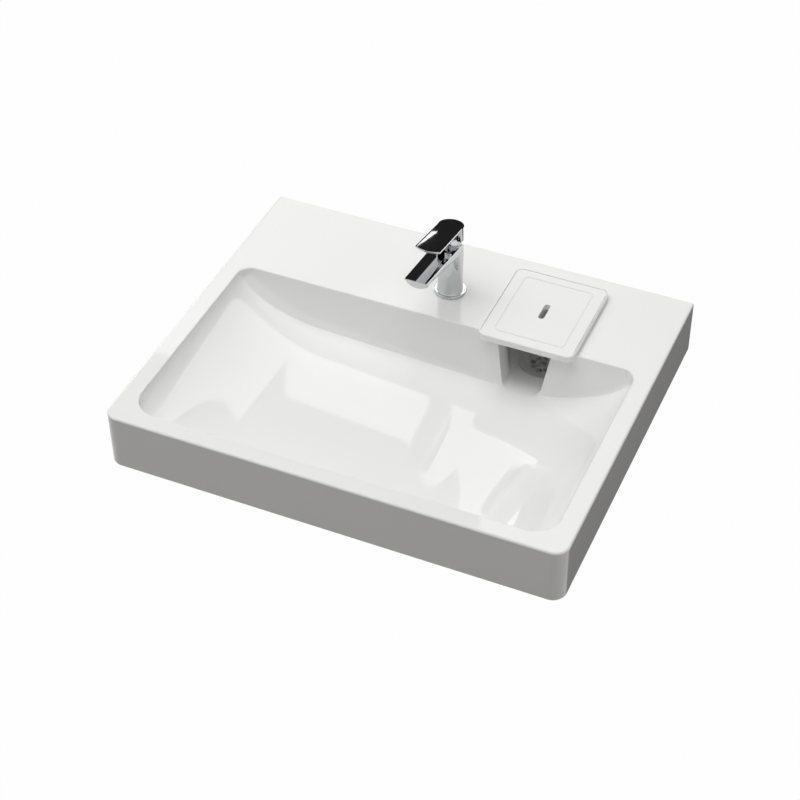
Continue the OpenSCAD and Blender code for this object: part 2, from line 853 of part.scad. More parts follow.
module aerator_housing() {
    color("silver")
        at_outlet()
            difference() {
                union() {
                    disc(aer_rim_r, 0, aer_rim_t);
                    disc(aer_r, aer_rim_t - over / 2, aer_rim_t + aer_h);
                }
                disc(aer_r - aer_wall, -over, aer_rim_t + aer_h + over);
            }
}

module aerator_insert() {
    low_z = 0.4;
    jets = 6;
    color("whitesmoke")
        at_outlet()
            difference() {
                disc(aer_r - aer_wall, low_z, aer_rim_t + aer_h);
                for (ring_n = [1:2])
                    for (i = [1:jets * ring_n])
                        rotate([0, 0, 360 * i / (jets * ring_n)])
                            translate([ring_n * jet_pitch, 0, 0])
                                disc(jet_r, -over, aer_rim_t + aer_h + over);
                disc(jet_r, -over, aer_rim_t + aer_h + over);
            }
}

module aerator_seal() {
    color("dimgray")
        at_outlet()
            ring(space_r, aer_r, aer_rim_t + aer_h, aer_rim_t + aer_h + aer_seal_t);
}

// Rings between the cartridge and its two inlets
module cartridge_seals() {
    color("dimgray")
        at_tap()
            for (side = [-1, 1])
                translate([side * inlet_x, -inlet_s, 0])
                    ring(port_r + free_gap, port_r + cart_seal_t, cart_seat_z, cart_base_z);
}

module cartridge() {
    port_depth = 4;
    color("whitesmoke")
        at_tap()
            difference() {
                union() {
                    disc(cart_r, cart_base_z, shoulder_z);
                    disc(cart_neck_r, shoulder_z - over, cart_top_z);
                }
                disc(spigot_r + run_gap, rotor_z - spigot_l - over, cart_top_z + over);
                for (side = [-1, 1])
                    translate([side * inlet_x, -inlet_s, 0])
                        disc(port_r, cart_base_z - over, cart_base_z + port_depth);
                translate([0, 0, channel_z])
                    rotate([90, 0, 0])
                        disc(channel_r, spigot_r + 2 * over, cart_r + over);
            }
}

module cartridge_nut() {
    color("goldenrod")
        at_tap()
            ring(nut_bore_r, nut_r, shoulder_z, nut_top_z);
}

module tap_dome() {
    color("silver")
        at_tap()
            difference() {
                union() {
                    disc(neck_r, nut_top_z, pivot_z - over);
                    translate([0, 0, pivot_z])
                        sphere(r = ball_r);
                }
                disc(neck_r - trim_t, nut_top_z - ball_r, pivot_z);
                translate([0, 0, pivot_z])
                    sphere(r = ball_r - trim_t);
                disc(ball_hole_r, pivot_z, pivot_z + 2 * ball_r);
            }
}

module cartridge_rotor() {
    slot_x = stem_x / 2 + free_gap;
    color("ivory")
        at_tap()
            difference() {
                union() {
                    disc(spigot_r, rotor_z - spigot_l, rotor_z + over);
                    disc(rotor_r, rotor_z, pivot_z + ear_h);
                }
                box(-slot_x, slot_x, -rotor_r - over, rotor_r + over,
                    pivot_z - stem_y / 2 - over, pivot_z + ear_h + over);
                translate([0, 0, pivot_z])
                    rotate([0, 90, 0])
                        disc(pin_r, -rotor_r - over, rotor_r + over);
            }
}

module pivot_pin() {
    color("silver")
        at_tap()
            translate([0, 0, pivot_z])
                rotate([0, 90, 0])
                    disc(pin_r, -rotor_r + over, rotor_r - over);
}

module lever_stem() {
    color("darkgray")
        at_tap()
            difference() {
                union() {
                    box(-stem_x / 2, stem_x / 2, -stem_y / 2, stem_y / 2, pivot_z, stem_top_z);
                    translate([0, 0, pivot_z])
                        rotate([0, 90, 0])
                            disc(stem_y / 2, -stem_x / 2, stem_x / 2);
                }
                translate([0, 0, pivot_z])
                    rotate([0, 90, 0])
                        disc(pin_r + run_gap, -stem_x, stem_x);
            }
}

// Rear cap of the lever: a skirt whose front edge sweeps up into the blade
module lever_cap() {
    back = tap_r + over;
    join_s = skirt_s + arch_l;
    low_z = skirt_under(-back) - over;
    arch_h = lever_top(join_s) - side_edge_t - skirt_under(skirt_s);
    arch_n = 10;
    arch_line = [for (i = [0:arch_n]) [-skirt_s - arch_l * (1 - cos(90 * i / arch_n)),
        skirt_under(skirt_s) + arch_h * sin(90 * i / arch_n)]];
    difference() {
        intersection() {
            disc(tap_r, low_z, lever_top(back));
            prism_x(concat([[back, skirt_under(-back)]], arch_line,
                [[-join_s, lever_top(join_s)], [back, lever_top(-back)]]), -back, back);
        }
        intersection() {
            disc(skirt_in_r, low_z - over, lever_top(back));
            prism_x([
                [back, low_z - 2 * over],
                [-back, low_z - 2 * over],
                [-back, lever_top(back) - roof_t],
                [back, lever_top(-back) - roof_t]], -back, back);
        }
    }
}

module blade_form() {
    tip = lever_reach - slice_t;
    edge_share = 0.6;
    curve_r = (blade_tip_w * blade_tip_w / 4 + blade_curve * blade_curve) / (2 * blade_curve);
    hull() {
        slice(0, 2 * tap_r - free_gap, blade_root_t, lever_top(0));
        for (part = [0.06, 0.3, 0.6, 1]) {
            back = part * blade_curve;
            slice(tip - back, 2 * sqrt(2 * curve_r * back - back * back),
                blade_tip_t * (edge_share + (1 - edge_share) * part), lever_top(tip - back));
        }
    }
}

module tap_lever() {
    color("silver")
        at_tap()
            difference() {
                union() {
                    lever_cap();
                    blade_form();
                    disc(boss_r, boss_z, lever_top(-boss_r) - roof_t + over);
                }
                box(-stem_x / 2, stem_x / 2, -stem_y / 2, stem_y / 2, boss_z - over, stem_top_z);
                translate([0, 0, grub_z])
                    rotate([-90, 0, 0])
                        disc(grub_r, 0, tap_r - skirt_t - over);
                translate([0, 0, grub_z])
                    rotate([-90, 0, 0])
                        disc(plug_r, boss_r + over, tap_r + over);
            }
}

module lever_grub_screw() {
    hex_r = 0.6 * grub_r;
    color("dimgray")
        at_tap()
            translate([0, 0, grub_z])
                rotate([-90, 0, 0])
                    difference() {
                        disc(grub_r - run_gap, stem_y / 2, boss_r - free_gap);
                        translate([0, 0, boss_r - grub_r])
                            cylinder(r = hex_r, h = 2 * grub_r, $fn = 6);
                    }
}

module indicator_plug() {
    color("gainsboro")
        at_tap()
            translate([0, 0, grub_z])
                rotate([-90, 0, 0])
                    disc(plug_r - run_gap, skirt_in_r - free_gap, tap_r - free_gap);
}

module tap_stud() {
    color("silver")
        at_tap()
            translate([0, stud_s, 0])
                disc(stud_r, top_z - stud_drop, foot_z + stud_in);
}

// Horseshoe outline of the clamp, open towards the front for the supply tubes
module clamp_form(z0, z1) {
    at_tap()
        difference() {
            disc(clamp_r, z0, z1);
            box(-clamp_mouth, clamp_mouth, -clamp_r - over, clamp_back, z0 - over, z1 + over);
            translate([0, stud_s, 0])
                disc(stud_r + free_gap, z0 - over, z1 + over);
        }
}

module clamp_gasket() {
    color("dimgray")
        clamp_form(deck_z - clamp_gasket_t, deck_z);
}

module clamp_plate() {
    color("silver")
        clamp_form(deck_z - clamp_gasket_t - clamp_plate_t, deck_z - clamp_gasket_t);
}

module clamp_nut() {
    high_z = deck_z - clamp_gasket_t - clamp_plate_t;
    color("goldenrod")
        at_tap()
            translate([0, stud_s, 0])
                difference() {
                    translate([0, 0, high_z - clamp_nut_h])
                        cylinder(r = clamp_nut_w / 2 / cos(30), h = clamp_nut_h, $fn = 6);
                    disc(stud_r + run_gap, high_z - clamp_nut_h - over, high_z + over);
                }
}

basin();
wall_bolt_sleeves();
drain_lid();
lid_pads();
waste_strainer();
waste_flange_gasket();
waste_seal();
waste_body();
waste_screw();
tap_base_seal();
tap_base_ring();
tap_body();
aerator_housing();
aerator_insert();
aerator_seal();
cartridge_seals();
cartridge();
cartridge_nut();
tap_dome();
cartridge_rotor();
pivot_pin();
lever_stem();
tap_lever();
lever_grub_screw();
indicator_plug();
tap_stud();
clamp_gasket();
clamp_plate();
clamp_nut();
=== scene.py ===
import math

import bmesh
import bpy
import numpy as np
from mathutils import Matrix, Vector
from mathutils.geometry import delaunay_2d_cdt


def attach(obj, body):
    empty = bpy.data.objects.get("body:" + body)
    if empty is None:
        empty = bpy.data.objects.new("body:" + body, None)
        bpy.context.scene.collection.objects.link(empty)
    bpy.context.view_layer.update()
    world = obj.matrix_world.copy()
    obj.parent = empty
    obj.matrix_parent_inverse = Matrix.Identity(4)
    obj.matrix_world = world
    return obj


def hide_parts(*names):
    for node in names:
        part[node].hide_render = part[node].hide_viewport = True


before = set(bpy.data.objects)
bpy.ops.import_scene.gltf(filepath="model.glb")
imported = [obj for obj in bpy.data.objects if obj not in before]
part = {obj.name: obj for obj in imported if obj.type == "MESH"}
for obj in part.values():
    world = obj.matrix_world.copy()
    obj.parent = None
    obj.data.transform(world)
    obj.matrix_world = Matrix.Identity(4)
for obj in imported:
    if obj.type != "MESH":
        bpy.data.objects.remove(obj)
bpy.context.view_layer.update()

# Studio: a pale floor as far below as a room's floor under a hung basin, a white backdrop, wide
# soft lamps, and a bright window and black cards that show only in mirror images. The camera
# stands at the photograph's height and distance.
scene = bpy.context.scene
scene.view_settings.view_transform = "Standard"
FLOOR_DROP, FLOOR_SIZE, FLOOR_WHITE = 0.85, 60, 0.985
ROOM_LIGHT, BACKDROP_LEVEL = 0.15, 1.0
LAMPS = [
    ("overhead_front", (0.15, -1.0, 1.9), (0.0, -0.25, 0.0), 1.8, 1.8, 12.9, "matt"),
    ("overhead_left", (-0.7, -0.3, 2.2), (0.0, -0.25, 0.0), 2.2, 2.2, 28.4, "matt"),
    ("left_glow", (-2.2, -0.3, 1.0), (0.0, -0.25, 0.0), 1.6, 1.6, 9.5, "matt"),
    ("right_glow", (2.2, -0.3, 1.0), (0.0, -0.25, 0.0), 1.6, 1.6, 8.8, "matt"),
    ("rear_window", (-0.85, 1.9, 1.32), (-0.85, -0.3, 1.32), 5.6, 2.04, 61.0, "gloss"),
    ("rear_window_top", (0.4, 1.9, 2.53), (0.4, -0.3, 2.53), 2.2, 0.38, 4.5, "gloss"),
]
for lamp_name, place, target, width, depth, watts, kind in LAMPS:
    lamp = bpy.data.objects.new(lamp_name, bpy.data.lights.new(lamp_name, "AREA"))
    lamp.data.shape = "RECTANGLE"
    lamp.data.size, lamp.data.size_y, lamp.data.energy = width, depth, watts
    lamp.location = place
    lamp.rotation_mode = "QUATERNION"
    lamp.rotation_quaternion = (Vector(target) - Vector(place)).to_track_quat("-Z", "Y")
    lamp.visible_camera = False
    lamp.visible_glossy = kind == "gloss"
    lamp.visible_diffuse = kind == "matt"
    scene.collection.objects.link(lamp)


def seen_or_mirrored(nodes, links):
    """1 for a ray that the camera, a mirror image or glass sends out, and 0 for one that lights."""
    ray = nodes.new("ShaderNodeLightPath")
    camera_or_glossy = nodes.new("ShaderNodeMath")
    camera_or_glossy.operation = "ADD"
    or_through_glass = nodes.new("ShaderNodeMath")
    or_through_glass.operation = "ADD"
    or_through_glass.use_clamp = True
    links.new(ray.outputs["Is Camera Ray"], camera_or_glossy.inputs[0])
    links.new(ray.outputs["Is Glossy Ray"], camera_or_glossy.inputs[1])
    links.new(camera_or_glossy.outputs[0], or_through_glass.inputs[0])
    links.new(ray.outputs["Is Transmission Ray"], or_through_glass.inputs[1])
    return or_through_glass.outputs[0]


room = bpy.data.worlds.new("white_room")
room.use_nodes = True
scene.world = room
nodes, links = room.node_tree.nodes, room.node_tree.links
nodes.clear()
where = nodes.new("ShaderNodeTexCoord")
split = nodes.new("ShaderNodeSeparateXYZ")
height_tone = nodes.new("ShaderNodeValToRGB")
for stop, position, grey in zip(height_tone.color_ramp.elements, (0.45, 0.6), (1, 0.6)):
    stop.position, stop.color = position, (grey, grey, grey, 1)
room_light = nodes.new("ShaderNodeBackground")
room_light.inputs["Color"].default_value = (1.0, 0.985, 0.965, 1)
room_light.inputs["Strength"].default_value = ROOM_LIGHT
backdrop = nodes.new("ShaderNodeBackground")
backdrop.inputs["Strength"].default_value = BACKDROP_LEVEL
both = nodes.new("ShaderNodeMixShader")
room_out = nodes.new("ShaderNodeOutputWorld")
links.new(where.outputs["Generated"], split.inputs[0])
links.new(split.outputs["Z"], height_tone.inputs["Fac"])
links.new(height_tone.outputs["Color"], backdrop.inputs["Color"])
links.new(seen_or_mirrored(nodes, links), both.inputs["Fac"])
links.new(room_light.outputs[0], both.inputs[1])
links.new(backdrop.outputs[0], both.inputs[2])
links.new(both.outputs[0], room_out.inputs["Surface"])

bpy.ops.mesh.primitive_plane_add(size=FLOOR_SIZE, location=(0, 0, -FLOOR_DROP))
floor = bpy.context.object
floor.name = "studio_floor"
paint = bpy.data.materials.new("pale_floor")
paint.use_nodes = True
nodes, links = paint.node_tree.nodes, paint.node_tree.links
nodes.clear()
matt = nodes.new("ShaderNodeBsdfDiffuse")
matt.inputs["Color"].default_value = (0.4, 0.395, 0.385, 1)
glow = nodes.new("ShaderNodeEmission")
glow.inputs["Strength"].default_value = 1.0
share = nodes.new("ShaderNodeMath")
share.operation = "MULTIPLY"
share.inputs[1].default_value = FLOOR_WHITE
both = nodes.new("ShaderNodeMixShader")
paint_out = nodes.new("ShaderNodeOutputMaterial")
links.new(seen_or_mirrored(nodes, links), share.inputs[0])
links.new(share.outputs[0], both.inputs["Fac"])
links.new(matt.outputs[0], both.inputs[1])
links.new(glow.outputs[0], both.inputs[2])
links.new(both.outputs[0], paint_out.inputs["Surface"])
floor.data.materials.append(paint)

card_black = bpy.data.materials.new("black_card")
card_black.use_nodes = True
card_shader = card_black.node_tree.nodes["Principled BSDF"]
card_shader.inputs["Base Color"].default_value = (0.01, 0.01, 0.01, 1)
card_shader.inputs["Roughness"].default_value = 0.9
REAR_Y, FRONT_Y, LOW_Z = 0.9, -3.2, -0.8
CARDS = [
    ("black_card_behind_left", [(-1.5, REAR_Y, 0.16), (-0.364, REAR_Y, 0.16), (-0.364, REAR_Y, 0.462),
                                (-0.39, REAR_Y, 0.498), (-0.39, REAR_Y, 0.72), (-1.5, REAR_Y, 0.72)]),
    ("black_card_behind_right", [(-0.364, REAR_Y, 0.16), (0.0, REAR_Y, 0.16), (0.0, REAR_Y, 0.72),
                                 (-0.39, REAR_Y, 0.72), (-0.39, REAR_Y, 0.498), (-0.352, REAR_Y, 0.459),
                                 (-0.364, REAR_Y, 0.462)]),
    ("black_card_below", [(0.4, 0.1, LOW_Z), (0.9, 0.1, LOW_Z), (0.9, 1.04, LOW_Z), (0.4, 1.04, LOW_Z)]),
    ("black_card_front", [(-1.5, FRONT_Y, 0.9), (1.5, FRONT_Y, 0.9), (1.5, FRONT_Y, 2.4),
                          (-1.5, FRONT_Y, 2.4)]),
]
for card_name, corners in CARDS:
    outline = bpy.data.meshes.new(card_name)
    outline.from_pydata(corners, [], [tuple(range(len(corners)))])
    outline.materials.append(card_black)
    card = bpy.data.objects.new(card_name, outline)
    card.visible_camera = card.visible_diffuse = card.visible_shadow = False
    scene.collection.objects.link(card)

CAMERA_AT = (0.72690, -1.90589, 1.61246)
CAMERA_YAW, CAMERA_DOWN, CAMERA_ROLL = math.radians(-23.935), math.radians(42.208), math.radians(0.502)
forward = Vector((math.sin(CAMERA_YAW) * math.cos(CAMERA_DOWN),
                  math.cos(CAMERA_YAW) * math.cos(CAMERA_DOWN), -math.sin(CAMERA_DOWN)))
level = Vector((math.cos(CAMERA_YAW), -math.sin(CAMERA_YAW), 0))
below = forward.cross(level)
right = level * math.cos(CAMERA_ROLL) + below * math.sin(CAMERA_ROLL)
down = below * math.cos(CAMERA_ROLL) - level * math.sin(CAMERA_ROLL)
camera = bpy.data.objects.new("camera", bpy.data.cameras.new("camera"))
camera.data.sensor_width, camera.data.lens, camera.data.clip_end = 36, 85.72, 50
turn = Matrix((right, -down, -forward)).transposed().to_4x4()
turn.translation = CAMERA_AT
camera.matrix_world = turn
scene.collection.objects.link(camera)
scene.camera = camera

# Basin: one casting of glazed sanitary ceramic, with a flat ledge, a wide bowl that falls to a
# channel at the rear right, and a round-cornered well behind it. It is hollow below.
MM = 0.001
TOP, BASE, LEDGE_UNDER, WELL_FLOOR, WASTE_SEAT = 40.0, -40.0, 26.0, -40.0, -42.4
HALF_WIDTH, DEPTH, CORNER_R, EDGE_R, APRON = 300.0, 490.0, 18.0, 3.0, 12.0
BOWL = (-275.5, -466.0, 275.5, -158.0)
BOWL_FRONT_R, BOWL_REAR_R, RIM_R = 34.0, 19.0, 1.8
BOWL_DEPTH, SIDE_RAMP, FRONT_RAMP, REAR_LEAN, LIP = 74.5, 130.0, 52.0, 0.12, 0.3
FALL_LEFT, FALL_RIGHT, FALL_BEND = 0.047, 0.12, 25.0
FRONT_OVER, FRONT_EXTRA, FRONT_BLEND = 1, 9, 5.0
COVE_X, COVE_H, COVE_SHARE = [-275, -214, -152, -57, 88, 275], [24, 22, 15, 12, 8, 8], 0.3
FOOT_SETBACK, FOOT_LEAST, RING_IN, MESH_PITCH = 12, 4.0, 17.0, 5.0
CHANNEL_X, CHANNEL_HALF, CHANNEL_TAPER = 125.7, 38.0, 0.163
CHANNEL_START, CHANNEL_FALL, FALL_SLOPE, FALL_DROP = -174, 54, 0.05, 2.8
WELL = (84.0, -146.0, 178.0, -45.0)
WELL_CORNER_R, WELL_CORNER_Y, WELL_LOW = 12, -57.0, -26
SWING_LEFT_Y, SWING_LEFT_L, SWING_RIGHT_Y, SWING_RIGHT_L = -145, 50, -158, 38
WASTE_AT, WASTE_HOLE_R, WASTE_SEAT_R = (131.0, -98.0), 23.0, 32.1
TAP_AT, TAP_HOLE_R = (-2.0, -98.0), 17.0
BOLT_X, BOLT_PAD_R, BOLT_PAD_FRONT, BOLT_HOLE_R = 140.0, 20.0, -20.0, 9.05
SHELL, FLOOR_R, SHELL_CORNER_R = 9.0, 6.0, 21


def round_loop(x0, y0, x1, y1, front_r, rear_r, steps=16, straight=0.0):
    """Points of a rectangle with rounded corners, from the front left, and their outward directions.

    With straight, its sides get points about that far apart.
    """
    points, outward = [], []

    def fill_side(end):
        last, first = np.array(points[-1]), np.array(end)
        count = max(1, int(np.linalg.norm(first - last) / straight))
        for i in range(1, count):
            points.append(tuple(last + (first - last) * i / count))
            outward.append(outward[-1])

    for cx, cy, r, start in ((x0, y0, front_r, 180), (x1, y0, front_r, 270),
                             (x1, y1, rear_r, 0), (x0, y1, rear_r, 90)):
        sx, sy = (1 if cx == x0 else -1), (1 if cy == y0 else -1)
        corner = []
        for i in range(steps + 1 if r > 0 else 1):
            a = math.radians(start + 90 * i / steps) if r > 0 else math.radians(start + 45)
            corner.append(((cx + sx * r + r * math.cos(a), cy + sy * r + r * math.sin(a)),
                           (math.cos(a), math.sin(a))))
        if straight and points:
            fill_side(corner[0][0])
        for p, n in corner:
            points.append(p)
            outward.append(n)
    if straight:
        fill_side(points[0])
    return points, outward


def piece_from(name, points, faces):
    """An object in the part's frame from points in millimetres, with its faces turned outwards."""
    mesh = bpy.data.meshes.new(name)
    mesh.from_pydata([tuple(c * MM for c in p) for p in points], [], faces)
    work = bmesh.new()
    work.from_mesh(mesh)
    bmesh.ops.remove_doubles(work, verts=work.verts, dist=1e-6)
    bmesh.ops.dissolve_degenerate(work, edges=work.edges, dist=1e-7)
    bmesh.ops.recalc_face_normals(work, faces=work.faces)
    work.to_mesh(mesh)
    work.free()
    made = bpy.data.objects.new(name, mesh)
    scene.collection.objects.link(made)
    return made


def strip_faces(count, strips):
    """Faces between neighbouring loops of equal point count."""
    return [(i * count + j, i * count + (j + 1) % count, (i + 1) * count + (j + 1) % count,
             (i + 1) * count + j) for i in range(strips) for j in range(count)]


def stack_of_loops(name, loops):
    """A closed form from loops of equal point count, with a flat cap at each end."""
    count = len(loops[0])
    points = [p for loop in loops for p in loop]
    faces = strip_faces(count, len(loops) - 1)
    faces.append(tuple(range(count))[::-1])
    faces.append(tuple((len(loops) - 1) * count + j for j in range(count)))
    return piece_from(name, points, faces)


def upright(name, loop, z0, z1):
    return stack_of_loops(name, [[(x, y, z0) for x, y in loop], [(x, y, z1) for x, y in loop]])


def circle(x, y, r, steps=64):
    return [(x + r * math.cos(2 * math.pi * i / steps), y + r * math.sin(2 * math.pi * i / steps))
            for i in range(steps)]


def as_plain_mesh(made):
    mesh = bpy.data.meshes.new_from_object(made.evaluated_get(bpy.context.evaluated_depsgraph_get()))
    made.modifiers.clear()
    made.data = mesh


def carve(made, tool, how="DIFFERENCE"):
    step = made.modifiers.new("carve", "BOOLEAN")
    step.object, step.operation, step.solver = tool, how, "EXACT"
    bpy.context.view_layer.update()
    as_plain_mesh(made)
    bpy.data.objects.remove(tool)


def soft_shaded(made, degrees=32):
    """Smooth shading that keeps hard edges hard, with the large flat faces kept flat."""
    work = bmesh.new()
    work.from_mesh(made.data)
    bmesh.ops.remove_doubles(work, verts=work.verts, dist=2e-6)
    work.to_mesh(made.data)
    work.free()
    made.data.shade_smooth()
    made.data.set_sharp_from_angle(angle=math.radians(degrees))
    flat = made.modifiers.new("flat_faces", "WEIGHTED_NORMAL")
    flat.keep_sharp = True
    flat.weight = 90
    as_plain_mesh(made)


def quarter_turn(steps):
    """Angles from 0 to a right angle."""
    return [math.pi / 2 * i / steps for i in range(steps + 1)]


def floor_fall(t):
    """Rise of the floor at a distance to the right of the channel, where it is lowest."""
    return ((FALL_RIGHT - FALL_LEFT) / 2 * t
            + (FALL_RIGHT + FALL_LEFT) / 2 * (np.sqrt(t * t + FALL_BEND ** 2) - FALL_BEND))


def quarter(u, length):
    """Share of the full depth on a sweep shaped as a quarter of an ellipse."""
    return np.where(u >= length, 1.0, np.sqrt(np.clip(1 - (1 - u / length) ** 2, 0, 1)))


def floor_depth(x, y):
    """Depth of the bowl's floor and of its sweeps up to the left, right and front rims."""
    sides = (BOWL_DEPTH - floor_fall(x - CHANNEL_X)) * quarter(
        np.minimum(x - BOWL[0], BOWL[2] - x) + LIP, SIDE_RAMP + LIP)
    u = np.clip(y - BOWL[1], 0, FRONT_RAMP)
    front = ((BOWL_DEPTH + FRONT_OVER) * quarter(u + LIP, FRONT_RAMP + LIP)
             + FRONT_EXTRA * (u / FRONT_RAMP) ** 2)
    h = np.clip(0.5 + 0.5 * (front - sides) / FRONT_BLEND, 0, 1)
    return front * (1 - h) + sides * h - FRONT_BLEND * h * (1 - h) * 0.5


def cove_height(x):
    return np.interp(x, COVE_X, COVE_H)


def bowl_depth_at(x, y):
    """Depth below the ledge, with the leaning rear wall and the cove at its foot."""
    deep = floor_depth(x, y)
    h = cove_height(x)
    v = np.clip(BOWL[3] - y, 0, None)
    straight = RIM_R + v / REAR_LEAN
    start = REAR_LEAN * (deep - h - RIM_R)
    root = np.sqrt(REAR_LEAN ** 2 + 4 * COVE_SHARE / h * np.clip(v - start, 0, None))
    coved = deep - h + (root - REAR_LEAN) / (2 * COVE_SHARE / h)
    return np.minimum(np.where(v < start, straight, coved), deep)


loop, outward = round_loop(*BOWL, BOWL_FRONT_R, BOWL_REAR_R, steps=20, straight=MESH_PITCH)
loop, outward = np.array(loop), np.array(outward)
x, y = loop[:, 0], loop[:, 1]
foot = (REAR_LEAN * (floor_depth(x, np.full(len(x), BOWL[3] - FOOT_SETBACK)) - RIM_R)
        + COVE_SHARE * cove_height(x))
rearward = np.clip((outward[:, 1] - 0.3) / 0.7, 0, 1)
foot = FOOT_LEAST + (foot - FOOT_LEAST) * rearward ** 2 * (3 - 2 * rearward)
rows = [[(p[0] + RIM_R * n[0], p[1] + RIM_R * n[1], TOP + 6) for p, n in zip(loop, outward)]]
for a in quarter_turn(6):
    out = RIM_R * (1 - math.sin(a))
    rows.append([(p[0] + out * n[0], p[1] + out * n[1], TOP - RIM_R * (1 - math.cos(a)))
                 for p, n in zip(loop, outward)])
edge_depth = np.maximum(bowl_depth_at(x, y), RIM_R)
for i in range(1, 7):
    z = TOP - RIM_R - (edge_depth - RIM_R) * i / 6
    rows.append([(a, b, c) for (a, b), c in zip(loop, z)])
for s in (0.12, 0.25, 0.38, 0.5, 0.6, 0.7, 0.8, 0.9, 1.0):
    q = loop - outward * (foot * s)[:, None]
    z = TOP - bowl_depth_at(q[:, 0], q[:, 1])
    rows.append([(a, b, c) for (a, b), c in zip(q, z)])
for s in (0.1, 0.25, 0.45, 0.7, 1.0):
    q = loop - outward * (foot + (RING_IN - foot) * s)[:, None]
    z = TOP - floor_depth(q[:, 0], q[:, 1])
    rows.append([(a, b, c) for (a, b), c in zip(q, z)])
count = len(loop)
points = [p for row in rows for p in row]
faces = [tuple(range(count))] + strip_faces(count, len(rows) - 1)
inner = [(p[0], p[1]) for p in rows[-1]]
grid = [(gx, gy) for gx in np.arange(BOWL[0] + RING_IN + 3, BOWL[2] - RING_IN - 2, MESH_PITCH)
        for gy in np.arange(BOWL[1] + RING_IN + 3, BOWL[3] - RING_IN - 2, MESH_PITCH)]
clear = [g for g in grid if np.min(np.hypot(loop[:, 0] - g[0], loop[:, 1] - g[1])) > RING_IN + 2.5]
inner_edges = [(i, (i + 1) % count) for i in range(count)]
placed, _, triangles = delaunay_2d_cdt([Vector(p) for p in inner + clear], inner_edges, [], 1, 1e-6)[:3]
start = len(points)
placed = np.array([[p.x, p.y] for p in placed])
points += [(a, b, c) for (a, b), c in zip(placed, TOP - floor_depth(placed[:, 0], placed[:, 1]))]
faces += [tuple(start + k for k in t) for t in triangles]
bowl_tool = piece_from("bowl_tool", points, faces)

shell_loop, _ = round_loop(BOWL[0] - SHELL, BOWL[1] - SHELL, BOWL[2] + SHELL, BOWL[3] + SHELL,
                           BOWL_FRONT_R + SHELL, BOWL_REAR_R + SHELL, steps=8, straight=12.0)
shell_loop = np.array(shell_loop)
middle = np.array([(BOWL[0] + BOWL[2]) / 2, (BOWL[1] + BOWL[3]) / 2])
narrowing = np.array([(BOWL[2] - BOWL[0]) / (BOWL[2] - BOWL[0] + 2 * SHELL), 1.0])
shell_rows = [[(a, b, LEDGE_UNDER + 1) for a, b in shell_loop]]
for s in (0, 0.03, 0.08, 0.15, 0.25, 0.38, 0.55, 0.75, 0.999):
    q = middle + (shell_loop - middle) * (1 - s)
    inside = middle + (q - middle) * narrowing
    deep = floor_depth(inside[:, 0], np.maximum(inside[:, 1] + SHELL * (s < 0.5), BOWL[1]))
    z = np.minimum(TOP - deep - SHELL, LEDGE_UNDER)
    shell_rows.append([(a, b, c) for (a, b), c in zip(q, z)])


def soft_edges(low, high, low_r, high_r, low_steps=6):
    """Insets and heights of the outlines that round a plate's lower and upper edges."""
    rows = [(low_r * (1 - math.sin(a)), low + low_r * (1 - math.cos(a))) for a in quarter_turn(low_steps)]
    return rows + [(high_r * (1 - math.cos(a)), high - high_r * (1 - math.sin(a))) for a in quarter_turn(6)]


basin = stack_of_loops("basin_body", [
    [(a, b, z) for a, b in round_loop(-HALF_WIDTH + e, -DEPTH + e, HALF_WIDTH - e, 0,
                                      CORNER_R - e, 0, steps=20)[0]]
    for e, z in soft_edges(BASE, TOP, EDGE_R, EDGE_R)])
hollow_loop, _ = round_loop(-HALF_WIDTH + APRON, -DEPTH + APRON, HALF_WIDTH - APRON, -APRON, CORNER_R / 2, 0)
carve(basin, upright("hollow", hollow_loop, BASE - 1, LEDGE_UNDER))
carve(basin, stack_of_loops("bowl_shell", shell_rows), "UNION")
well_loop, _ = round_loop(WELL[0] - SHELL, BOWL[3] - 2 * SHELL, WELL[2] + SHELL, WELL[3] + SHELL,
                          SHELL_CORNER_R, SHELL_CORNER_R)
carve(basin, upright("well_shell", well_loop, WASTE_SEAT - SHELL, LEDGE_UNDER + 1), "UNION")
carve(basin, bowl_tool)

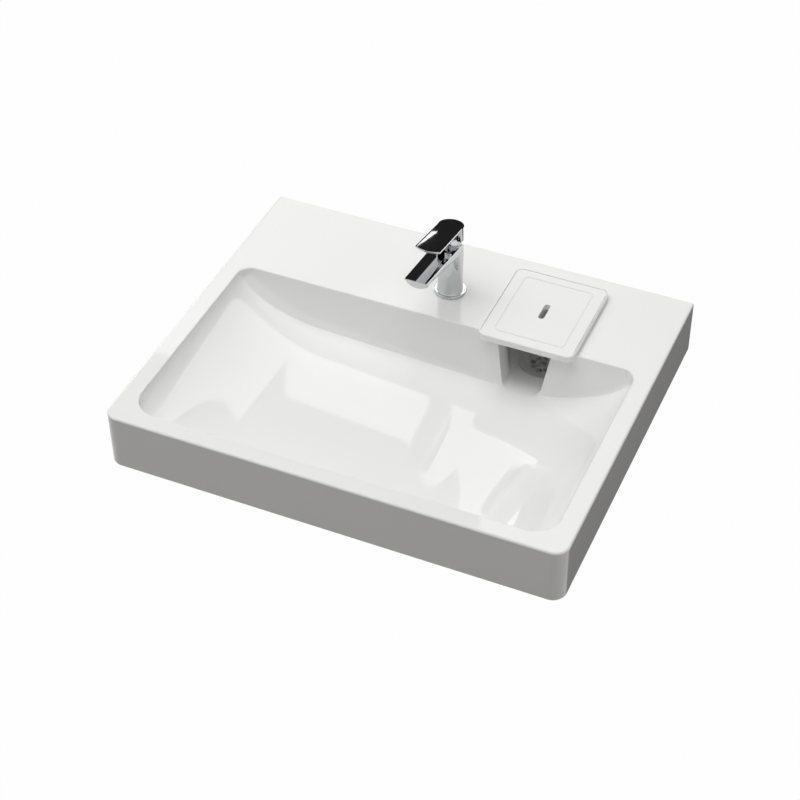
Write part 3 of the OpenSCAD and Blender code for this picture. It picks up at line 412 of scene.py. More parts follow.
# The channel and the well are one form, from upright sections that follow each other rearwards
well_line = [-178.0, -174.0, -168.0, -162.0] + [BOWL[3] + 63 * i / 16 for i in range(17)] + [WELL_CORNER_Y]
well_line += [WELL_CORNER_Y + WELL_CORNER_R * math.sin(math.radians(a)) for a in (20, 40, 60, 75, 86)]
sections = []
for y in well_line:
    swing_left, swing_right = [v * v * (3 - 2 * v) for v in (
        np.clip((y - SWING_LEFT_Y) / SWING_LEFT_L, 0, 1), np.clip((y - SWING_RIGHT_Y) / SWING_RIGHT_L, 0, 1))]
    fall = np.clip((y - CHANNEL_START) / CHANNEL_FALL, 0, 1)
    drop = FALL_SLOPE * min(y - CHANNEL_START, CHANNEL_FALL) + FALL_DROP * fall * fall * (3 - 2 * fall)
    tuck = WELL_CORNER_R - math.sqrt(WELL_CORNER_R ** 2 - max(y - WELL_CORNER_Y, 0) ** 2)
    left, right = [], []
    for z in [TOP + 2, TOP] + list(np.linspace(TOP - 8, WELL_LOW, 8)):
        half = CHANNEL_HALF - CHANNEL_TAPER * (TOP - z)
        left.append(((CHANNEL_X - half) * (1 - swing_left) + WELL[0] * swing_left + tuck, z))
        right.append(((CHANNEL_X + half) * (1 - swing_right) + WELL[2] * swing_right - tuck, z))
    low_left, low_right = left[-1][0] + 1.5, right[-1][0] - 1.5
    low = []
    for i in range(21):
        x = low_left + (low_right - low_left) * (1 - math.cos(math.pi * i / 20)) / 2
        u = min(x - low_left, low_right - x)
        bottom = (TOP - BOWL_DEPTH + floor_fall(x - CHANNEL_X)) * (1 - fall) + (TOP - BOWL_DEPTH) * fall - drop
        soft = FLOOR_R * (1 - math.sqrt(max(0, 1 - (1 - min(u, FLOOR_R) / FLOOR_R) ** 2)))
        low.append((x, bottom + soft))
    sections.append([(a, y, c) for a, c in left + low + right[::-1]])
carve(basin, stack_of_loops("well_and_channel", sections))
carve(basin, upright("tap_hole", circle(*TAP_AT, TAP_HOLE_R), LEDGE_UNDER - 2, TOP + 2))
carve(basin, upright("waste_hole", circle(*WASTE_AT, WASTE_HOLE_R), WASTE_SEAT - SHELL - 2, WELL_FLOOR + 2))
carve(basin, upright("waste_seat", circle(*WASTE_AT, WASTE_SEAT_R), WASTE_SEAT, WELL_FLOOR + 2))
for side in (-1, 1):
    for r, y0, y1, how in ((BOLT_PAD_R, BOLT_PAD_FRONT, 1 - APRON, "UNION"),
                           (BOLT_HOLE_R, BOLT_PAD_FRONT - 1, 1.0, "DIFFERENCE")):
        ring = circle(side * BOLT_X, 0, r)
        carve(basin, stack_of_loops("bolt_pad", [[(a, y, b) for a, b in ring] for y in (y0, y1)]), how)
soft_shaded(basin)


RELIEF_DEPTH = 0.0004


def surface_drift_group():
    """Slow change of colour, gloss and height over a surface, shared by every finish."""
    tree = bpy.data.node_groups.new("surface_drift", "ShaderNodeTree")
    for name, kind in (("Grain", "NodeSocketFloat"), ("Detail", "NodeSocketFloat"),
                       ("Low Color", "NodeSocketColor"), ("High Color", "NodeSocketColor"),
                       ("Low Roughness", "NodeSocketFloat"), ("High Roughness", "NodeSocketFloat")):
        tree.interface.new_socket(name, in_out="INPUT", socket_type=kind)
    for name, kind in (("Color", "NodeSocketColor"), ("Roughness", "NodeSocketFloat"),
                       ("Height", "NodeSocketFloat")):
        tree.interface.new_socket(name, in_out="OUTPUT", socket_type=kind)
    nodes, links = tree.nodes, tree.links
    given, result = nodes.new("NodeGroupInput"), nodes.new("NodeGroupOutput")
    place = nodes.new("ShaderNodeTexCoord")
    noise = nodes.new("ShaderNodeTexNoise")
    tone = nodes.new("ShaderNodeMix")
    tone.data_type = "RGBA"
    gloss = nodes.new("ShaderNodeMapRange")
    links.new(place.outputs["Object"], noise.inputs["Vector"])
    links.new(given.outputs["Grain"], noise.inputs["Scale"])
    links.new(given.outputs["Detail"], noise.inputs["Detail"])
    links.new(noise.outputs["Fac"], tone.inputs["Factor"])
    links.new(given.outputs["Low Color"], tone.inputs["A"])
    links.new(given.outputs["High Color"], tone.inputs["B"])
    links.new(noise.outputs["Fac"], gloss.inputs["Value"])
    links.new(given.outputs["Low Roughness"], gloss.inputs["To Min"])
    links.new(given.outputs["High Roughness"], gloss.inputs["To Max"])
    links.new(tone.outputs["Result"], result.inputs["Color"])
    links.new(gloss.outputs["Result"], result.inputs["Roughness"])
    links.new(noise.outputs["Fac"], result.inputs["Height"])
    return tree


SURFACE_DRIFT = surface_drift_group()


def finish_material(name, low, high, rough_low, rough_high, metal=0.0, grain=60.0, bump=0.0):
    """A Principled material whose colour and gloss drift a little over the surface."""
    made = bpy.data.materials.new(name)
    made.use_nodes = True
    nodes, links = made.node_tree.nodes, made.node_tree.links
    shader = nodes["Principled BSDF"]
    shader.inputs["Metallic"].default_value = metal
    drift = nodes.new("ShaderNodeGroup")
    drift.node_tree = SURFACE_DRIFT
    for socket, value in (("Grain", grain), ("Detail", 3.0), ("Low Color", (*low, 1)),
                          ("High Color", (*high, 1)), ("Low Roughness", rough_low),
                          ("High Roughness", rough_high)):
        drift.inputs[socket].default_value = value
    links.new(drift.outputs["Color"], shader.inputs["Base Color"])
    links.new(drift.outputs["Roughness"], shader.inputs["Roughness"])
    if bump:
        relief = nodes.new("ShaderNodeBump")
        relief.inputs["Strength"].default_value = bump
        relief.inputs["Distance"].default_value = RELIEF_DEPTH
        links.new(drift.outputs["Height"], relief.inputs["Height"])
        links.new(relief.outputs["Normal"], shader.inputs["Normal"])
    return made


def dress(made, finish, slot, body, *replaced):
    """Gives a finished piece its material and its body, and hides what it stands for. The slot is not used."""
    made.data.materials.clear()
    made.data.materials.append(finish)
    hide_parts(*replaced)
    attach(made, body)


def paint_nodes(finish, *names):
    """Gives a finish to CAD nodes that keep their shape."""
    for name in names:
        part[name].data.materials.clear()
        part[name].data.materials.append(finish)


white_glaze = finish_material("white_glaze", (0.87, 0.87, 0.865), (0.885, 0.885, 0.88), 0.02, 0.035,
                              grain=9.0)
dress(basin, white_glaze, "glaze", "fixed", "basin")

# Wall bolt sleeves: two flanged bushes of moulded white plastic, pushed into the basin's rear
# wall from inside, so that the steel wall bolts don't bear on the ceramic.
moulded_white = finish_material("moulded_white", (0.74, 0.74, 0.72), (0.79, 0.79, 0.77), 0.35, 0.45,
                                grain=500.0, bump=0.15)
paint_nodes(moulded_white, "wall_bolt_sleeves")

# Waste: a steel strainer in a seat in the well's floor, drawn by one screw against a white plastic
# body under the basin, with a thin rubber gasket under its flange and a thick seal below the basin.
STRAINER_R, STRAINER_T, STRAINER_MID_R, STRAINER_DISH = 31.5, 1.2, 21.0, 4.0
STRAINER_EDGE, PRESS_R, PRESS_IN, LIP_R, LIP_OUT = 0.6, 1, 2.2, 1.5, 0.3
DRAIN_HOLES, DRAIN_HOLE_R, DRAIN_RING_R = 8, 3.8, 13.0
WASTE_TOP, WASTE_END, COLLAR_R, COLLAR_T, TAIL_R, TAIL_T = -54.4, -104.4, 31.0, 4.0, 20.95, 3.0
THROAT_R, THROAT_TOP, HUB_R, HUB_H, ARM_W, SCREW_HOLE_R = 22.4, -45.5, 7.0, 9.0, 4.0, 3.05
THREAD_PITCH, THREAD_DEPTH, THREAD_START, WASTE_EDGE, THROAT_T, ARM_GAP = 2.309, 1.1, 1.5, 0.8, 1, 0.5


def turned(name, section, x, y, steps=96):
    """A closed form turned round an upright axis from its section of radii and heights."""
    n = len(section)
    points = [(x + r * math.cos(2 * math.pi * i / steps), y + r * math.sin(2 * math.pi * i / steps), z)
              for i in range(steps) for r, z in section]
    faces = [(i * n + j, i * n + (j + 1) % n, (i + 1) % steps * n + (j + 1) % n, (i + 1) % steps * n + j)
             for i in range(steps) for j in range(n)]
    return piece_from(name, points, faces)


def arc(cx, cz, r, start, end, steps=6):
    """Points of an arc in a section, from one angle to another in degrees."""
    return [(cx + r * math.cos(math.radians(start + (end - start) * i / steps)),
             cz + r * math.sin(math.radians(start + (end - start) * i / steps))) for i in range(steps + 1)]


def hole_ring_tree():
    """Geometry Nodes that punch a ring of round holes through a plate."""
    tree = bpy.data.node_groups.new("hole_ring", "GeometryNodeTree")
    tree.interface.new_socket("Plate", in_out="INPUT", socket_type="NodeSocketGeometry")
    for name, kind in (("Holes", "NodeSocketInt"), ("Ring Radius", "NodeSocketFloat"),
                       ("Hole Radius", "NodeSocketFloat"), ("Punch Length", "NodeSocketFloat"),
                       ("Centre", "NodeSocketVector"), ("Finish", "NodeSocketMaterial")):
        tree.interface.new_socket(name, in_out="INPUT", socket_type=kind)
    tree.interface.new_socket("Plate", in_out="OUTPUT", socket_type="NodeSocketGeometry")
    nodes, links = tree.nodes, tree.links
    given, result = nodes.new("NodeGroupInput"), nodes.new("NodeGroupOutput")
    ring = nodes.new("GeometryNodeMeshCircle")
    punch = nodes.new("GeometryNodeMeshCylinder")
    punch.inputs["Vertices"].default_value = 24
    spread = nodes.new("GeometryNodeInstanceOnPoints")
    solid = nodes.new("GeometryNodeRealizeInstances")
    shift = nodes.new("GeometryNodeTransform")
    cut = nodes.new("GeometryNodeMeshBoolean")
    cut.operation = "DIFFERENCE"
    cut.solver = "EXACT"
    whole = nodes.new("GeometryNodeRealizeInstances")
    painted = nodes.new("GeometryNodeSetMaterial")
    links.new(given.outputs["Holes"], ring.inputs["Vertices"])
    links.new(given.outputs["Ring Radius"], ring.inputs["Radius"])
    links.new(given.outputs["Hole Radius"], punch.inputs["Radius"])
    links.new(given.outputs["Punch Length"], punch.inputs["Depth"])
    links.new(ring.outputs["Mesh"], spread.inputs["Points"])
    links.new(punch.outputs["Mesh"], spread.inputs["Instance"])
    links.new(spread.outputs["Instances"], solid.inputs["Geometry"])
    links.new(solid.outputs["Geometry"], shift.inputs["Geometry"])
    links.new(given.outputs["Centre"], shift.inputs["Translation"])
    links.new(given.outputs["Plate"], cut.inputs["Mesh 1"])
    links.new(shift.outputs["Geometry"], cut.inputs["Mesh 2"])
    links.new(cut.outputs["Mesh"], whole.inputs["Geometry"])
    links.new(whole.outputs["Geometry"], painted.inputs["Geometry"])
    links.new(given.outputs["Finish"], painted.inputs["Material"])
    links.new(painted.outputs["Geometry"], result.inputs["Plate"])
    return tree


HOLE_RING = hole_ring_tree()


def punch_ring(made, holes, ring_r, hole_r, length, centre, finish):
    """Punches a ring of holes through a piece, by the nodes above, and leaves a plain mesh."""
    step = made.modifiers.new("hole_ring", "NODES")
    step.node_group = HOLE_RING
    named = {item.name: item.identifier for item in HOLE_RING.interface.items_tree if item.in_out == "INPUT"}
    for name, value in (("Holes", holes), ("Ring Radius", ring_r * MM), ("Hole Radius", hole_r * MM),
                        ("Punch Length", length * MM), ("Centre", [c * MM for c in centre]),
                        ("Finish", finish)):
        step[named[name]] = value
    bpy.context.view_layer.update()
    as_plain_mesh(made)


satin_steel = finish_material("satin_steel", (0.82, 0.825, 0.83), (0.86, 0.865, 0.87), 0.42, 0.52,
                              metal=1.0, grain=400.0)
flange_low, mid_low = WELL_FLOOR - STRAINER_T, WELL_FLOOR - STRAINER_DISH - STRAINER_T
strainer = turned("strainer", [
    (SCREW_HOLE_R, mid_low), (STRAINER_MID_R - PRESS_R, mid_low)]
    + arc(STRAINER_MID_R - PRESS_R, mid_low + PRESS_R, PRESS_R, -90, 0)
    + [(STRAINER_MID_R, flange_low), (STRAINER_R, flange_low)]
    + arc(STRAINER_R - STRAINER_EDGE, WELL_FLOOR - STRAINER_EDGE, STRAINER_EDGE, 0, 90)
    + arc(STRAINER_MID_R + LIP_OUT, WELL_FLOOR - LIP_R, LIP_R, 90, 180)
    + arc(STRAINER_MID_R - PRESS_IN, WELL_FLOOR - STRAINER_DISH + PRESS_R, PRESS_R, 0, -90)
    + [(SCREW_HOLE_R, WELL_FLOOR - STRAINER_DISH)], *WASTE_AT)
punch_ring(strainer, DRAIN_HOLES, DRAIN_RING_R, DRAIN_HOLE_R, 12.0, (*WASTE_AT, mid_low), satin_steel)
soft_shaded(strainer)
dress(strainer, satin_steel, "sheet", "fixed", "waste_strainer")

black_rubber = finish_material("black_rubber", (0.018, 0.018, 0.018), (0.035, 0.035, 0.035), 0.6, 0.8,
                               grain=600.0, bump=0.2)
paint_nodes(black_rubber, "waste_flange_gasket", "waste_seal")

collar_low = WASTE_TOP - COLLAR_T
thread, thread_z = [], collar_low - THREAD_START
while thread_z - THREAD_PITCH > WASTE_END + 1:
    thread += [(TAIL_R, thread_z), (TAIL_R, thread_z - 0.2 * THREAD_PITCH),
               (TAIL_R - THREAD_DEPTH, thread_z - 0.5 * THREAD_PITCH),
               (TAIL_R - THREAD_DEPTH, thread_z - 0.7 * THREAD_PITCH)]
    thread_z -= THREAD_PITCH
waste_body = turned("waste_body_threaded", [
    (THROAT_R - THROAT_T, THROAT_TOP), (THROAT_R, THROAT_TOP), (THROAT_R, WASTE_TOP), (COLLAR_R, WASTE_TOP)]
    + arc(COLLAR_R - WASTE_EDGE, collar_low + WASTE_EDGE, WASTE_EDGE, 0, -90) + [(TAIL_R, collar_low)]
    + thread + [(TAIL_R, thread_z), (TAIL_R, WASTE_END + WASTE_EDGE), (TAIL_R - WASTE_EDGE, WASTE_END),
                (TAIL_R - TAIL_T, WASTE_END), (TAIL_R - TAIL_T, collar_low),
                (THROAT_R - THROAT_T, collar_low)], *WASTE_AT)
hub = upright("hub", circle(*WASTE_AT, HUB_R), WASTE_TOP - HUB_H, WASTE_TOP)
for half_x, half_y in ((THROAT_R - ARM_GAP, ARM_W / 2), (ARM_W / 2, THROAT_R - ARM_GAP)):
    arm_loop, _ = round_loop(WASTE_AT[0] - half_x, WASTE_AT[1] - half_y, WASTE_AT[0] + half_x,
                             WASTE_AT[1] + half_y, 0, 0)
    carve(hub, upright("arm", arm_loop, collar_low, WASTE_TOP - 0.1), "UNION")
carve(hub, upright("screw_hole", circle(*WASTE_AT, SCREW_HOLE_R), WASTE_TOP - HUB_H - 1, WASTE_TOP + 1))
carve(waste_body, hub, "UNION")
soft_shaded(waste_body)
dress(waste_body, moulded_white, "waste", "fixed", "waste_body")

plain_steel = finish_material("plain_steel", (0.5, 0.5, 0.51), (0.6, 0.6, 0.61), 0.25, 0.38,
                              metal=1.0, grain=350.0)
paint_nodes(plain_steel, "waste_screw")

# Tap base: a chrome-plated brass ring that covers the edge of the tap hole, on a thin black
# rubber seal that keeps water off the ledge's underside.
RING_R, RING_BORE_R, RING_LOW, FOOT_Z, RING_EDGE = 21.0, 13.0, 40.8, 43.8, 1.2
chrome = finish_material("chrome", (0.6, 0.605, 0.61), (0.625, 0.63, 0.635), 0.015, 0.03,
                         metal=1.0, grain=120.0)
base_ring = turned("base_ring", [(RING_BORE_R, RING_LOW), (RING_R, RING_LOW)]
                   + arc(RING_R - RING_EDGE, FOOT_Z - RING_EDGE, RING_EDGE, 0, 90)
                   + [(RING_BORE_R, FOOT_Z)], *TAP_AT, steps=128)
soft_shaded(base_ring)
dress(base_ring, chrome, "chrome", "fixed", "tap_base_ring")
paint_nodes(black_rubber, "tap_base_seal")

# Tap body: one chrome-plated brass casting, an upright barrel with a flared foot and a flat
# wedge of a spout that rises forward. It is bored from above for the cartridge.
TAP_R, FOOT_R, FOOT_H, SPOUT_TOP_Z, SPOUT_RISE = 16.6, 18.4, 16.0, 119.3, 0.168
SPOUT_ROOT_T, SPOUT_TIP_T, SPOUT_TIP_W, SPOUT_REACH, TIP_UNDERCUT = 28.0, 13.0, 30.6, 115.5, 4.0
TIP_ROUND, TIP_NARROWING, TIP_ROUND_T, TIP_END_T, TIP_END_DROP = 0.6, 1.4, 3.4, 2.0, 0.4
REAR_TOP_Z, REAR_SLOPE, SIDE_EDGE, TOOL_HALF, TOOL_TOP = 116.8, 0.5, 1.2, 40.0, 200
CARTRIDGE_R, CARTRIDGE_Z, NUT_R, SHOULDER_Z, NUT_TOP_Z = 12.75, 84.0, 13.55, 102.5, 108.0
PIVOT_Z, BALL_R, NECK_R, TRIM_T, BALL_HOLE_R, BALL_GAP = 120.0, 14.2, 12.3, 1.8, 10.5, 0.3
INLET, STUD_BORE = (7.0, -3.0, 4.5, 14.0), (0.0, 8.5, 4.05, 13.0)
OUTLET_R, OUTLET_T, SLEEVE_BORE_R, SLEEVE_END, SEAL_BORE_R, SEAL_END = 10.25, 1.6, 9.25, 7.6, 6.8, 9.8
LOW_S = SPOUT_REACH - TIP_UNDERCUT
UNDER_RISE = (SPOUT_RISE * LOW_S - SPOUT_TIP_T + SPOUT_ROOT_T) / LOW_S
OUTLET_S = SPOUT_REACH - 15.0
OUTLET_Z = SPOUT_TOP_Z - SPOUT_ROOT_T + UNDER_RISE * OUTLET_S
TO_OUTLET = (Matrix.Translation((TAP_AT[0] * MM, (TAP_AT[1] - OUTLET_S) * MM, OUTLET_Z * MM))
             @ Matrix.Rotation(-math.atan(UNDER_RISE), 4, "X"))


def crowned_slice(s, width, thick, top_z, edge_r=0.5, steps=28):
    """One upright slice of a flat bar with rounded upper edges and a crowned underside."""
    x, y = TAP_AT[0], TAP_AT[1] - s
    half = width / 2
    edge_r = min(edge_r, half / 3, SIDE_EDGE / 2)
    line = [(-half + edge_r - edge_r * math.cos(math.radians(a)),
             top_z - edge_r + edge_r * math.sin(math.radians(a))) for a in (0, 22, 45, 68, 90)]
    line += [(-u, v) for u, v in reversed(line)]
    line += [(half * math.cos(math.pi * i / steps),
              top_z - SIDE_EDGE - (thick - SIDE_EDGE) * math.sin(math.pi * i / steps))
             for i in range(steps + 1)]
    return [(x + u, y, v) for u, v in line]


def side_cut(name, outline):
    """A form drawn across the tap from its side outline of distances to the rear and heights."""
    return stack_of_loops(name, [[(TAP_AT[0] + side * TOOL_HALF, TAP_AT[1] + u, v) for u, v in outline]
                                 for side in (-1, 1)])


def leaning(made):
    """Moves a form from the origin to the outlet, square to the spout's underside."""
    made.data.transform(TO_OUTLET)
    return made


spout_slices = [crowned_slice(s, 2 * TAP_R + (SPOUT_TIP_W - 2 * TAP_R) * s / LOW_S,
                              SPOUT_ROOT_T + (SPOUT_TIP_T - SPOUT_ROOT_T) * s / LOW_S,
                              SPOUT_TOP_Z + SPOUT_RISE * s) for s in (0, LOW_S * 0.5, LOW_S)]
spout_slices.append(crowned_slice(SPOUT_REACH - TIP_ROUND, SPOUT_TIP_W - TIP_ROUND, TIP_ROUND_T,
                                  SPOUT_TOP_Z + SPOUT_RISE * (SPOUT_REACH - TIP_ROUND)))
spout_slices.append(crowned_slice(SPOUT_REACH, SPOUT_TIP_W - TIP_NARROWING, TIP_END_T,
                                  SPOUT_TOP_Z + SPOUT_RISE * SPOUT_REACH - TIP_END_DROP))
flared_foot = [(FOOT_R - (FOOT_R - TAP_R) * math.sin(math.radians(a)),
                FOOT_Z + FOOT_H * (1 - math.cos(math.radians(a)))) for a in range(0, 91, 6)]
tap_body = turned("tap_barrel_and_spout", [(0, FOOT_Z)] + flared_foot
                  + [(TAP_R, SPOUT_TOP_Z), (0, SPOUT_TOP_Z)], *TAP_AT, steps=128)
carve(tap_body, stack_of_loops("spout", spout_slices), "UNION")
carve(tap_body, side_cut("rear_slope", [
    (-TOOL_HALF, REAR_TOP_Z + TOOL_HALF * REAR_SLOPE), (TOOL_HALF, REAR_TOP_Z - TOOL_HALF * REAR_SLOPE),
    (TOOL_HALF, TOOL_TOP), (-TOOL_HALF, TOOL_TOP)]))
carve(tap_body, turned("cartridge_bore", [
    (0, CARTRIDGE_Z), (CARTRIDGE_R, CARTRIDGE_Z), (CARTRIDGE_R, SHOULDER_Z - 1), (NUT_R, SHOULDER_Z - 1),
    (NUT_R, NUT_TOP_Z), (BALL_R + BALL_GAP, NUT_TOP_Z), (BALL_R + BALL_GAP, TOOL_TOP), (0, TOOL_TOP)],
    *TAP_AT, steps=128))
for x, y, r, depth in ((-INLET[0], *INLET[1:]), INLET, STUD_BORE):
    carve(tap_body, upright("base_bore", circle(TAP_AT[0] + x, TAP_AT[1] + y, r, 32),
                            FOOT_Z - 1, FOOT_Z + depth))
carve(tap_body, leaning(turned("outlet_bore", [
    (0, -SPOUT_TIP_T), (OUTLET_R, -SPOUT_TIP_T), (OUTLET_R, OUTLET_T), (SLEEVE_BORE_R, OUTLET_T),
    (SLEEVE_BORE_R, SLEEVE_END), (SEAL_BORE_R, SLEEVE_END), (SEAL_BORE_R, SEAL_END), (0, SEAL_END)], 0, 0)))
soft_shaded(tap_body)
dress(tap_body, chrome, "chrome", "fixed", "tap_body")

# Aerator: a chrome-plated sleeve screwed into the spout's underside, with a white plastic
# insert whose small jets mix air into the water, and a rubber seal above it.
AERATOR_R, AERATOR_RIM_R, AERATOR_RIM_T, AERATOR_H, AERATOR_WALL = 9.2, 10.2, 1.6, 5.0, 1.2
AERATOR_EDGE, AERATOR_RIM_EDGE = 0.3, 0.4
JET_R, JET_PITCH, JETS, INSERT_LOW = 0.8, 2.9, 6, 0.4
aerator_top = AERATOR_RIM_T + AERATOR_H
aerator_bore = AERATOR_R - AERATOR_WALL
aerator = leaning(turned("aerator_sleeve", [(aerator_bore, AERATOR_EDGE), (aerator_bore + AERATOR_EDGE, 0)]
                         + arc(AERATOR_RIM_R - AERATOR_RIM_EDGE, AERATOR_RIM_EDGE, AERATOR_RIM_EDGE, -90, 0, 4)
                         + [(AERATOR_RIM_R, AERATOR_RIM_T), (AERATOR_R, AERATOR_RIM_T),
                            (AERATOR_R, aerator_top), (aerator_bore, aerator_top)], 0, 0))
soft_shaded(aerator)
dress(aerator, chrome, "chrome", "fixed", "aerator_housing")
jet_white = finish_material("jet_white", (0.72, 0.73, 0.74), (0.78, 0.79, 0.8), 0.3, 0.4, grain=500.0)
insert = turned("aerator_jets", [(JET_R, INSERT_LOW), (aerator_bore, INSERT_LOW), (aerator_bore, aerator_top),
                                 (JET_R, aerator_top)], 0, 0)
for ring in (1, 2):
    punch_ring(insert, JETS * ring, JET_PITCH * ring, JET_R, 4 * AERATOR_H, (0, 0, 0), jet_white)
soft_shaded(leaning(insert))
dress(insert, jet_white, "jets", "fixed", "aerator_insert")
paint_nodes(black_rubber, "aerator_seal")

# Cartridge: a ceramic-disc mixing cartridge of white plastic on rubber rings, held down in the
# body by a brass nut, with a turning part, a steel pin and the stem that the lever is on.
cartridge_white = finish_material("cartridge_white", (0.7, 0.69, 0.65), (0.76, 0.75, 0.71), 0.35, 0.45,
                                  grain=400.0)
turned_brass = finish_material("turned_brass", (0.7, 0.5, 0.22), (0.78, 0.58, 0.28), 0.18, 0.3,
                               metal=1.0, grain=350.0)
paint_nodes(black_rubber, "cartridge_seals")
paint_nodes(cartridge_white, "cartridge", "cartridge_rotor")
paint_nodes(turned_brass, "cartridge_nut")
paint_nodes(plain_steel, "pivot_pin", "lever_stem")

# Trim ball: a thin chrome-plated shell that covers the nut, with an opening at the top in
# which the stem swings. It shows as the bright ball under the lever.
ball_low = -math.degrees(math.acos(NECK_R / BALL_R))
ball_high = math.degrees(math.acos(BALL_HOLE_R / BALL_R))
inner_r = BALL_R - TRIM_T
inner_angle = math.degrees(math.acos(BALL_HOLE_R / inner_r))
trim_ball = turned("trim_ball", [(NECK_R - TRIM_T, NUT_TOP_Z), (NECK_R, NUT_TOP_Z)]
                   + arc(0, PIVOT_Z, BALL_R, ball_low, ball_high, 40)
                   + arc(0, PIVOT_Z, inner_r, inner_angle, -inner_angle, 20), *TAP_AT, steps=128)
soft_shaded(trim_ball)
dress(trim_ball, chrome, "chrome", "fixed", "tap_dome")

# Deck fixing: a steel stud in the body's base, with a rubber horseshoe, a steel plate and a
# brass nut that clamp the ledge from below.
paint_nodes(plain_steel, "tap_stud", "clamp_plate")
paint_nodes(black_rubber, "clamp_gasket")
paint_nodes(turned_brass, "clamp_nut")

# Lever: a chrome-plated casting, a hollow cap over the ball whose front sweeps up in an arch
# into a flat blade with a gently curved tip. A grub screw behind a plug holds it on the stem.
SKIRT_R, SKIRT_T, SKIRT_Z, LEVER_TOP_Z, LEVER_RISE, ROOF_T = 16.6, 1.7, 125.0, 146.2, 0.2, 3.8
SKIRT_S, ARCH_L, LEVER_REACH, BLADE_TIP_W, BLADE_CURVE = 5.4, 19.0, 81.4, 34.4, 4.9
BLADE_ROOT_T, BLADE_TIP_T, BLADE_INSET, BOSS_R, BOSS_Z, PLUG_R, GRUB_Z = 7.0, 5.5, 0.3, 7.5, 133.5, 2.4, 136.0


def lever_top(s):
    return LEVER_TOP_Z + LEVER_RISE * s


back = SKIRT_R + 1
join_s = SKIRT_S + ARCH_L
arch_z = SKIRT_Z + LEVER_RISE * SKIRT_S
arch_h = lever_top(join_s) - SIDE_EDGE - arch_z
arch_line = [(-SKIRT_S - ARCH_L * (1 - math.cos(a)), arch_z + arch_h * math.sin(a)) for a in quarter_turn(24)]
lever = upright("lever_cap_and_blade", circle(*TAP_AT, SKIRT_R, 128), SKIRT_Z - LEVER_RISE * back - 1,
                lever_top(back))
carve(lever, side_cut("cap_side", [(back, SKIRT_Z - LEVER_RISE * back)] + arch_line
                      + [(-join_s, lever_top(join_s)), (back, lever_top(-back))]), "INTERSECT")
hollow = upright("cap_hollow", circle(*TAP_AT, SKIRT_R - SKIRT_T, 128), SKIRT_Z - 10, lever_top(back))
carve(hollow, side_cut("roof", [(back, 100), (-back, 100), (-back, lever_top(back) - ROOF_T),
                                (back, lever_top(-back) - ROOF_T)]), "INTERSECT")
carve(lever, hollow)
curve_r = (BLADE_TIP_W ** 2 / 4 + BLADE_CURVE ** 2) / (2 * BLADE_CURVE)
blade_l = LEVER_REACH - BLADE_CURVE
blade = [crowned_slice(s, 2 * SKIRT_R - BLADE_INSET + (BLADE_TIP_W - 2 * SKIRT_R + BLADE_INSET) * s / blade_l,
                       BLADE_ROOT_T + (BLADE_TIP_T - BLADE_ROOT_T) * s / blade_l, lever_top(s))
         for s in (0, 25, 50)]
for share in (1, 0.82, 0.65, 0.5, 0.36, 0.24, 0.14, 0.07, 0.02):
    inset = share * BLADE_CURVE
    blade.append(crowned_slice(LEVER_REACH - inset, 2 * math.sqrt(2 * curve_r * inset - inset ** 2),
                               BLADE_TIP_T * (0.6 + 0.4 * share), lever_top(LEVER_REACH - inset)))
carve(lever, stack_of_loops("blade", blade), "UNION")
carve(lever, upright("boss", circle(*TAP_AT, BOSS_R), BOSS_Z, lever_top(-BOSS_R) - ROOF_T + 1), "UNION")
plug_ring = [(TAP_AT[0] + a, GRUB_Z + b) for a, b in circle(0, 0, PLUG_R, 32)]
carve(lever, stack_of_loops("plug_hole", [[(a, TAP_AT[1] + y, b) for a, b in plug_ring]
                                          for y in (BOSS_R + 1, 20)]))
soft_shaded(lever)
dress(lever, chrome, "chrome", "lever", "tap_lever")
black_steel = finish_material("black_steel", (0.05, 0.05, 0.055), (0.09, 0.09, 0.095), 0.3, 0.45,
                              metal=1.0, grain=400.0)
paint_nodes(black_steel, "lever_grub_screw")
grey_plug = finish_material("grey_plug", (0.6, 0.61, 0.63), (0.66, 0.67, 0.69), 0.15, 0.22, grain=300.0)
paint_nodes(grey_plug, "indicator_plug")

# Lid: a loose plate of glossy white moulded plastic that covers the well and overhangs the bowl.
# It has a fine groove inside its edge, a framed field, a finger slot, low ribs below that locate
# it in the well and four soft pads.
LID = (67.0, -177.0, 195.0, -30.0)
LID_LOW, LID_TOP, LID_R, LID_EDGE, LID_LOW_EDGE = 41.2, 50.2, 10.0, 1.2, 0.4
FIELD_W, FIELD_L, FIELD_R, LINE_W, LINE_T = 95.0, 118.0, 6.0, 1.2, 0.8
SEAM_IN, SEAM_W, SEAM_T, SEAM_FRONT = 1.1, 1.1, 1.6, 8.0
SLOT_W, SLOT_L, SLOT_R, RIB_H, RIB_T, RIB_R, RIB_X = 8.0, 30.0, 3.85, 6.0, 3.0, 0.6, 44.3
SIDE_RIB_Y, SIDE_RIB_L, REAR_RIB_Y, REAR_RIB_L = -95.5, 77.0, -47.7, 61.6
lid = stack_of_loops("lid_plate", [
    [(a, b, z) for a, b in round_loop(LID[0] + e, LID[1] + e, LID[2] - e, LID[3] - e, LID_R - e, LID_R - e)[0]]
    for e, z in soft_edges(LID_LOW, LID_TOP, LID_LOW_EDGE, LID_EDGE, low_steps=4)])
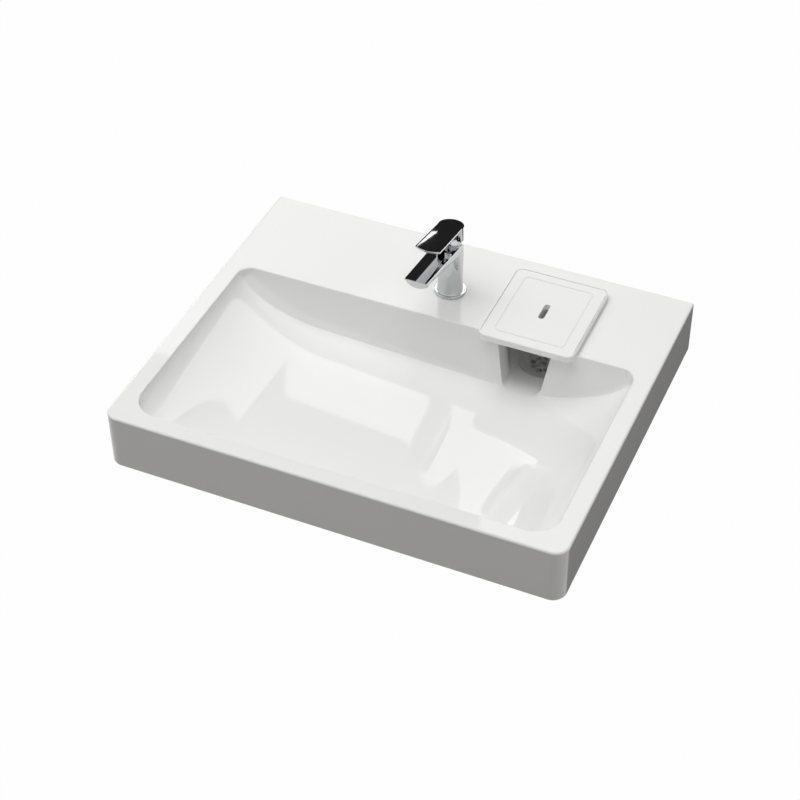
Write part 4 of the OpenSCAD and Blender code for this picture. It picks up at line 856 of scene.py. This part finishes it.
lid_x, lid_y = (LID[0] + LID[2]) / 2, (LID[1] + LID[3]) / 2


def lid_block(name, width, length, r, z0, z1, x=lid_x, y=lid_y):
    """An upright block with rounded corners, by default in the middle of the lid."""
    outline, _ = round_loop(x - width / 2, y - length / 2, x + width / 2, y + length / 2, r, r)
    return upright(name, outline, z0, z1)


line = lid_block("frame_line", FIELD_W, FIELD_L, FIELD_R, LID_TOP - LINE_T, LID_TOP + 1)
carve(line, lid_block("field", FIELD_W - 2 * LINE_W, FIELD_L - 2 * LINE_W, FIELD_R - LINE_W,
                      LID_TOP - 2, LID_TOP + 2))
carve(lid, line)
seam_w, seam_l = LID[2] - LID[0] - 2 * SEAM_IN, LID[3] - LID[1] - 2 * SEAM_IN
seam = lid_block("edge_seam", seam_w, seam_l, LID_R - SEAM_IN, LID_TOP - SEAM_T, LID_TOP + 1)
carve(seam, lid_block("plate", seam_w - 2 * SEAM_W, seam_l - 2 * SEAM_W, LID_R - SEAM_IN - SEAM_W,
                      LID_TOP - 3, LID_TOP + 2))
carve(seam, lid_block("front", seam_w + 4, 2 * SEAM_FRONT, 0, LID_TOP - 3, LID_TOP + 2, lid_x, LID[1]))
carve(lid, seam)
carve(lid, lid_block("finger_slot", SLOT_W, SLOT_L, SLOT_R, LID_LOW - 1, LID_TOP + 1))
for x, width, y, length in ((lid_x - RIB_X, RIB_T, SIDE_RIB_Y, SIDE_RIB_L),
                            (lid_x + RIB_X, RIB_T, SIDE_RIB_Y, SIDE_RIB_L),
                            (lid_x, REAR_RIB_L, REAR_RIB_Y, RIB_T)):
    carve(lid, lid_block("rib", width, length, RIB_R, TOP - RIB_H, LID_LOW + 1, x, y), "UNION")
soft_shaded(lid)
lid_white = finish_material("lid_white", (0.865, 0.865, 0.86), (0.88, 0.88, 0.875), 0.05, 0.08, grain=12.0)
dress(lid, lid_white, "lid", "lid", "drain_lid")
soft_pad = finish_material("soft_pad", (0.62, 0.62, 0.61), (0.68, 0.68, 0.67), 0.5, 0.6, grain=500.0)
paint_nodes(soft_pad, "lid_pads")
